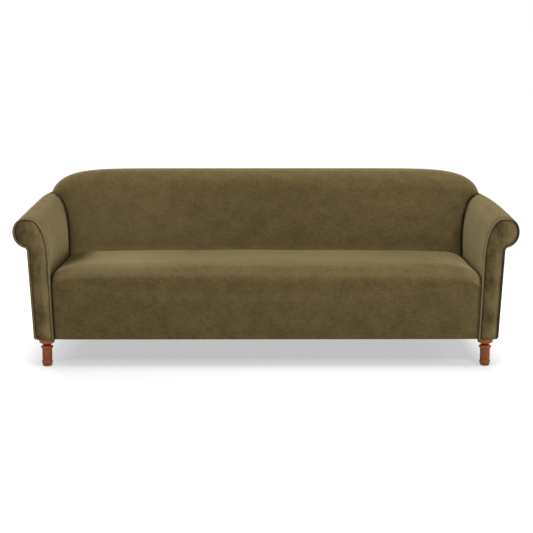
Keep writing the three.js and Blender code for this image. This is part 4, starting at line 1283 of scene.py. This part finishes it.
def seat_painted_light(points, normals):
    """Painted light and shade: dark where the seat turns left and pale where it turns right or forward, paler
    on top at the left, a painted shadow at the rear left and painted shade in the seam beside the arms.
    """
    x, y, z = points.T
    on_the_edge = np.exp(-(((normals[:, 2] - 0.55) / 0.28) ** 2))
    turned_forward = 0.1 * on_the_edge * np.clip(-3 * normals[:, 1], 0, 1)
    left_of_front = 0.06 * np.clip(-x / (600 * mm), 0, 1) * (normals[:, 1] < -0.9)
    all_over = 0.7 * normals[:, 0] + turned_forward - left_of_front
    from_side = np.clip(np.array([seat_half_width(at) for at in z]) - np.abs(x), 0, None)
    beside = np.clip(1.7 - 1.7 * from_side / (175 * mm), 0, 1)
    painted_shadow_rear_left = (x < 0) * beside * np.clip((y + 320 * mm) / (260 * mm), 0, 1) * (normals[:, 2] > 0)
    paler_top_left = 0.2 * np.clip((-x - 350 * mm) / (250 * mm), 0, 1) * np.clip(2 * normals[:, 2] - 1, 0, 1)
    seam = np.exp(-((from_side / (8 * mm)) ** 2))
    return all_over + paler_top_left * (1 - painted_shadow_rear_left) - 0.36 * painted_shadow_rear_left - 1.1 * seam


paint_light_and_shade(seat, seat_painted_light)


def arm_painted_shade(points, ring, spread):
    """Painted shade in the seam behind the piping, and where the seat and the back meet the arm."""
    x, y, z = points.T
    seam = np.exp((cover_front_y - y) / (4 * mm))
    top = ring[ring[:, 2] > foam_bottom + 20 * mm]
    top = top[np.argsort(top[:, 1])]
    above = z - np.interp(y, top[:, 1], top[:, 2])
    # Painted shade along the seat and, below, along the back.
    pressed = np.exp(-np.abs(above) / spread) * (np.abs(x) < shoulder_x + 2 * mm) * (y < level_y)
    behind = np.exp(-np.clip(back_face_at(z) - y, 0, None) / (12 * mm)) * (np.abs(x) < roll_x - 20 * mm)
    return -0.6 * seam - 0.95 * np.maximum(pressed, 0.7 * behind)


# Painted shade along each arm's seams, spread wider at the left.
for side, ring, spread in (("right", grid[-1], 11 * mm), ("left", grid[0], 24 * mm)):
    paint_light_and_shade(
        bpy.data.objects["arm_velvet_" + side], lambda points, normals: arm_painted_shade(points, ring, spread)
    )
settle(seat, velvet, "velvet", "seat_cover", "seat_foam")

# Inside back
# The back is tight too: a slab of foam on a thin panel, rolled over the arched top rail. Its velvet is
# pushed down between the seat and the arms, pulled through and stapled, which rounds its edges.

arch_half = roll_x + 13 * mm
arch_foot = arm_height + arm_rise - 6 * mm
arch_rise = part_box("back_cover")[1].z - arch_foot
arch_power_across = 10
arch_power_up = 1.95
crest_front_roll = 62 * mm
crest_side_roll = 25 * mm
crest_front_power = 2.2
crest_rear_roll = 34.5 * mm
crest_rear_side_roll = 14 * mm
crest_rear_run = 44 * mm
lumbar_bulge = 7 * mm
back_edge_round = 15 * mm
back_edge_pull = 9 * mm
back_edge_reach = 75 * mm
back_edge_power = 2.2
back_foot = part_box("back_cover")[0].z
even_arch_share = 0.8
row_count = 60
foot_crowding = 1.6
crest_steps = 15
free_crest_steps = 8


def arch_line():
    """The silhouette of the back's right half as [x, z], from the middle to where it meets the arm roll."""
    line = [
        (s * arch_half, arch_foot + arch_rise * (1 - s**arch_power_across) ** (1 / arch_power_up))
        for s in np.linspace(0, even_arch_share, 60)
    ]
    start = math.asin(even_arch_share ** (arch_power_across / 2))
    foot_share = (arm_height + arm_rise + gap - arch_foot) / arch_rise
    end = math.acos(foot_share ** (arch_power_up / 2))
    for a in np.linspace(start, end, 40)[1:]:
        line.append(
            (
                arch_half * math.sin(a) ** (2 / arch_power_across),
                arch_foot + arch_rise * math.cos(a) ** (2 / arch_power_up),
            )
        )
    return np.array(line)


arch = arch_line()
arch_along = np.gradient(arch, axis=0)
arch_along /= np.linalg.norm(arch_along, axis=1)[:, None]
arch_out = np.stack([-arch_along[:, 1], arch_along[:, 0]], 1)
arch_out[0] = (0, 1)
upness = np.clip(arch_out[:, 1], 0, 1)[:, None]
front_roll = crest_side_roll + (crest_front_roll - crest_side_roll) * upness
rear_roll = crest_rear_side_roll + (crest_rear_roll - crest_rear_side_roll) * upness
front_edge = arch - arch_out * front_roll
rear_edge = arch - arch_out * rear_roll

arm_side = drawn_in(arm_outline(arm_rise, back_foot), -2 * gap)
corner = next(i for i, (x, z) in enumerate(arm_side) if x > arch_half - crest_side_roll)
arm_side = arm_side[: corner + 1]
front_edge[-1] = arm_side[-1]
side_run = np.insert(np.cumsum(np.linalg.norm(np.diff(arm_side, axis=0), axis=1)), 0, 0)
side_line = np.stack(
    [np.interp(np.linspace(0, side_run[-1], row_count), side_run, arm_side[:, k]) for k in (0, 1)], 1
)
column_count = len(arch)
crowded = 1 - (1 - np.linspace(0, 1, column_count)) ** foot_crowding
foot_line = np.stack([crowded * side_line[0, 0], np.full(column_count, back_foot)], 1)
middle_line = np.stack([np.zeros(row_count), np.linspace(back_foot, front_edge[0, 1], row_count)], 1)

u = crowded[None, :, None]
v = np.linspace(0, 1, row_count)[:, None, None]
face = (
    (1 - v) * foot_line[None] + v * front_edge[None] + (1 - u) * middle_line[:, None] + u * side_line[:, None]
)
face -= (
    (1 - u) * (1 - v) * foot_line[0] + u * (1 - v) * foot_line[-1]
    + (1 - u) * v * front_edge[0] + u * v * front_edge[-1]
)  # fmt: skip


def face_depth(flat):
    """y of the inside back at points [x, z], with its swell in the small of the back."""
    x, z = flat[..., 0], flat[..., 1]
    top = np.interp(np.abs(x), arch[:, 0], arch[:, 1]) - crest_front_roll
    along = np.clip((z - seat_height) / (top - seat_height), 0, 1)
    fullness = 1 - np.clip(np.abs(x) / arch_half, 0, 1) ** seat_side_power
    return back_face_at(z) - lumbar_bulge * fullness * np.sin(along**0.7 * math.pi) ** 2


rows = [np.insert(row, 1, face_depth(row), axis=1) for row in face]
edge_depth = rows[-1][:, 1]
crest_depth = np.array([rear_at(z - crest_rear_roll) for z in arch[:, 1]]) - crest_rear_run
for a in quarter(crest_steps):
    out_share = math.sin(a) ** (2 / crest_front_power)
    back_share = 1 - math.cos(a) ** (2 / crest_front_power)
    flat = front_edge + (arch - front_edge) * out_share
    leaning = (flat - front_edge)[:, 1] * math.tan(back_recline)
    left_over = crest_depth - edge_depth - (arch - front_edge)[:, 1] * math.tan(back_recline)
    rows.append(np.insert(flat, 1, edge_depth + leaning + left_over * back_share, axis=1))
rear_depth = np.array([rear_at(z) for z in rear_edge[:, 1]]) - fabric - gap
for a in quarter(9):
    flat = arch + (rear_edge - arch) * (1 - math.cos(a))
    rows.append(np.insert(flat, 1, crest_depth + (rear_depth - crest_depth) * math.sin(a), axis=1))
rows = np.array(rows)

# The edge that is pushed down beside the arm is rounded.
whole_side = np.concatenate([arm_side, arm_side[::-1] + (1, 0)])
beside = distance_to(rows[..., [0, 2]].reshape(-1, 2), whole_side).reshape(rows.shape[:2])
tucked = np.clip(1 - beside / back_edge_round, 0, 1)
row_number = np.arange(len(rows))[:, None]
shown = row_number < row_count + crest_steps
pulled = back_edge_pull * np.clip(1 - beside / back_edge_reach, 0, 1) ** back_edge_power
rows[..., 1] += np.where(shown, back_edge_round * (1 - np.sqrt(1 - tucked**2)) + pulled, 0)

uneven = swell(rows.reshape(-1, 3), 300 * mm, 4).reshape(rows.shape[:2])
quiet = np.clip(beside / (60 * mm), 0, 1) * np.clip((rows[..., 2] - back_foot) / (60 * mm), 0, 1)
rows[..., 1] += 2.0 * mm * uneven * quiet * (row_number < row_count)

support = [np.insert(rear_edge, 1, 0, axis=1)] + [np.insert(row, 1, 0, axis=1) for row in face[::-1]]
for row in support:
    row[:, 1] = [back_face_at(z) + back_pad - gap for z in row[:, 2]]
half = np.concatenate([rows, support])
whole = np.concatenate([(half * (-1, 1, 1))[:, :0:-1], half], axis=1)


def clear_of(points, face, sign):
    """Moves the points that lie inside a neighbour's face, a grid, out to just clear of it."""
    rows, columns = face.shape[:2]
    at = np.arange(rows * columns).reshape(rows, columns)
    quads = np.stack([at[:-1, :-1], at[:-1, 1:], at[1:, 1:], at[1:, :-1]], 2).reshape(-1, 4)
    neighbour = BVHTree.FromPolygons(face.reshape(-1, 3).tolist(), quads.tolist())
    for k, point in enumerate(points):
        nearest, out = neighbour.find_nearest(Vector(point), 25 * mm)[:2]
        if nearest is not None and (Vector(point) - nearest).dot(out * sign) < gap:
            points[k] = nearest + out * sign * gap


flat_whole = whole.reshape(-1, 3)
for side, sign in sides.items():
    beside_arm = sign * flat_whole[:, 0] > shoulder_x - 30 * mm
    near = np.flatnonzero(beside_arm & (flat_whole[:, 2] > shoulder_height))
    moved = flat_whole[near]
    clear_of(moved, arm_faces[side], sign)
    flat_whole[near] = moved
back = loft("back_velvet", flat_whole.reshape(whole.shape).transpose(1, 0, 2))
free_half = (beside > 30 * mm) & (rows[..., 2] > seat_height + 20 * mm)
free_half &= row_number < row_count + free_crest_steps
free_half = np.concatenate([free_half, np.zeros((len(support), column_count), bool)])
free = np.concatenate([free_half[:, :0:-1], free_half], axis=1)
stuffed(back, free.T.ravel(), 5 * mm)


def back_painted_light(points, normals):
    """Painted light and shade: darker in the middle and on the crest's left, paler to the left, and painted
    shade where it is pushed down beside an arm.
    """
    x, y, z = points.T
    painted_shade_beside_arm = np.exp(-distance_to(np.stack([np.abs(x), z], 1), whole_side) / (8 * mm))
    high_up = np.clip((z - 470 * mm) / (120 * mm), 0, 1) * np.clip((775 * mm - z) / (50 * mm), 0, 1)
    middle = 0.12 * np.exp(-((x / (330 * mm)) ** 2)) * high_up
    outwards = 0.03 + 0.06 * np.clip(-x / (500 * mm), -0.15, 1)
    crest = 0.08 * np.clip(2 * normals[:, 2] - 0.6, 0, 1) * np.clip(-x / (500 * mm), 0, 1)
    return outwards - crest - middle - 0.03 * high_up - 0.65 * painted_shade_beside_arm


paint_light_and_shade(back, back_painted_light)
settle(back, velvet, "velvet", "back_cover", "back_foam")

# Outside back
# The rear is closed by one flat panel of velvet over thin wadding, stretched and blind-stitched along the
# arch and the arms, and stapled under the bottom rail.

outer_half = drawn_in(arm_outline(arm_rise, underside), 3 * mm)
roll_start = next(i for i, (x, z) in enumerate(outer_half) if x > arch_half)
panel_top = arch - arch_out * (rear_roll - 2 * mm)
panel_top = panel_top[panel_top[:, 1] > outer_half[roll_start, 1] + 4 * mm]
right_edge = np.concatenate([panel_top, outer_half[roll_start:]])
left_edge = (right_edge * (-1, 1))[::-1]
rear_line = np.concatenate([right_edge, left_edge[:-1]])
stretched = 3 * mm


def rear_front(flat, away):
    """The face that lies against the frame."""
    return np.array([rear_at(z) for z in flat[:, 1]]) - fabric


def rear_face(flat, away):
    """The face that shows: it rolls over at the edge, and the wadding swells it a little."""
    share = np.clip(away / (8 * mm), 0, 1)
    soft = np.clip(away / (220 * mm), 0, 1)
    place = np.stack([flat[:, 0], flat[:, 1], flat[:, 0] * 0], 1)
    uneven = 0.8 * mm * swell(place, 240 * mm, 5) * soft
    swelling = stretched * (1 - (1 - soft) ** 2) + uneven
    return rear_front(flat, away) + fabric * np.sqrt(1 - (1 - share) ** 2) + swelling


rear_panel = padded_panel(
    "outside_back_velvet", rear_line, [k * mm for k in (1, 2.5, 5, 9)], 16 * mm, rear_front, rear_face
)
settle(rear_panel, velvet, "velvet", "outside_back_cover")


# Dust cover
# Black non-woven cloth closes the underside between the legs. It is stapled to the rails, and hangs a
# little between them.

# Non-woven polypropylene, spun and bonded: black, matt, with faint specks where the fibres are welded.
dust_cloth, tree, shader, place = surface("spun_bonded_black_cloth")
specks = add(
    tree, "ShaderNodeTexVoronoi", {"Vector": place.outputs["Object"], "Scale": 1 / (2 * mm)}
)
tone = blend_of(tree, specks.outputs["Distance"], linear("#2e2e2e"), linear("#191919"), 0.2, 0.5)
set_finish(tree, shader, tone, 0.95, {"Height": specks.outputs["Distance"], "Distance": 0.2 * mm})

dust_low, dust_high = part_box("dust_cover")
leg_margin = 5 * mm
narrow_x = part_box("front_leg_right")[0].x - leg_margin
notch_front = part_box("front_leg_right")[1].y + leg_margin
notch_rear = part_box("rear_leg_right")[0].y - leg_margin
right_edge = [
    (narrow_x, dust_low.y), (narrow_x, notch_front), (dust_high.x, notch_front),
    (dust_high.x, notch_rear), (narrow_x, notch_rear), (narrow_x, dust_high.y),
]  # fmt: skip
dust_corners = np.array(right_edge + [(-x, y) for x, y in reversed(right_edge)])
dust_line = stepped(dust_corners, 25 * mm)
flat, triangles = filled(dust_line, [3 * mm, 10 * mm], 30 * mm)
away = distance_to(flat, dust_line)
sag = 5 * mm * (1 - (1 - np.clip(away / (200 * mm), 0, 1)) ** 2)
uneven = np.abs(swell(np.insert(flat, 2, 0, axis=1), 90 * mm, 6))
sag += 0.8 * mm * uneven * np.clip(away / (30 * mm), 0, 1)
upper = np.stack([flat[:, 0], flat[:, 1], dust_high.z - sag], 1)
lower = upper - (0, 0, dust_high.z - dust_low.z)
faces = two_sided(triangles, len(flat))
dust = solid("underside_dust_cloth", np.concatenate([upper, lower]), faces)
settle(dust, dust_cloth, "dust_cloth", "dust_cover")
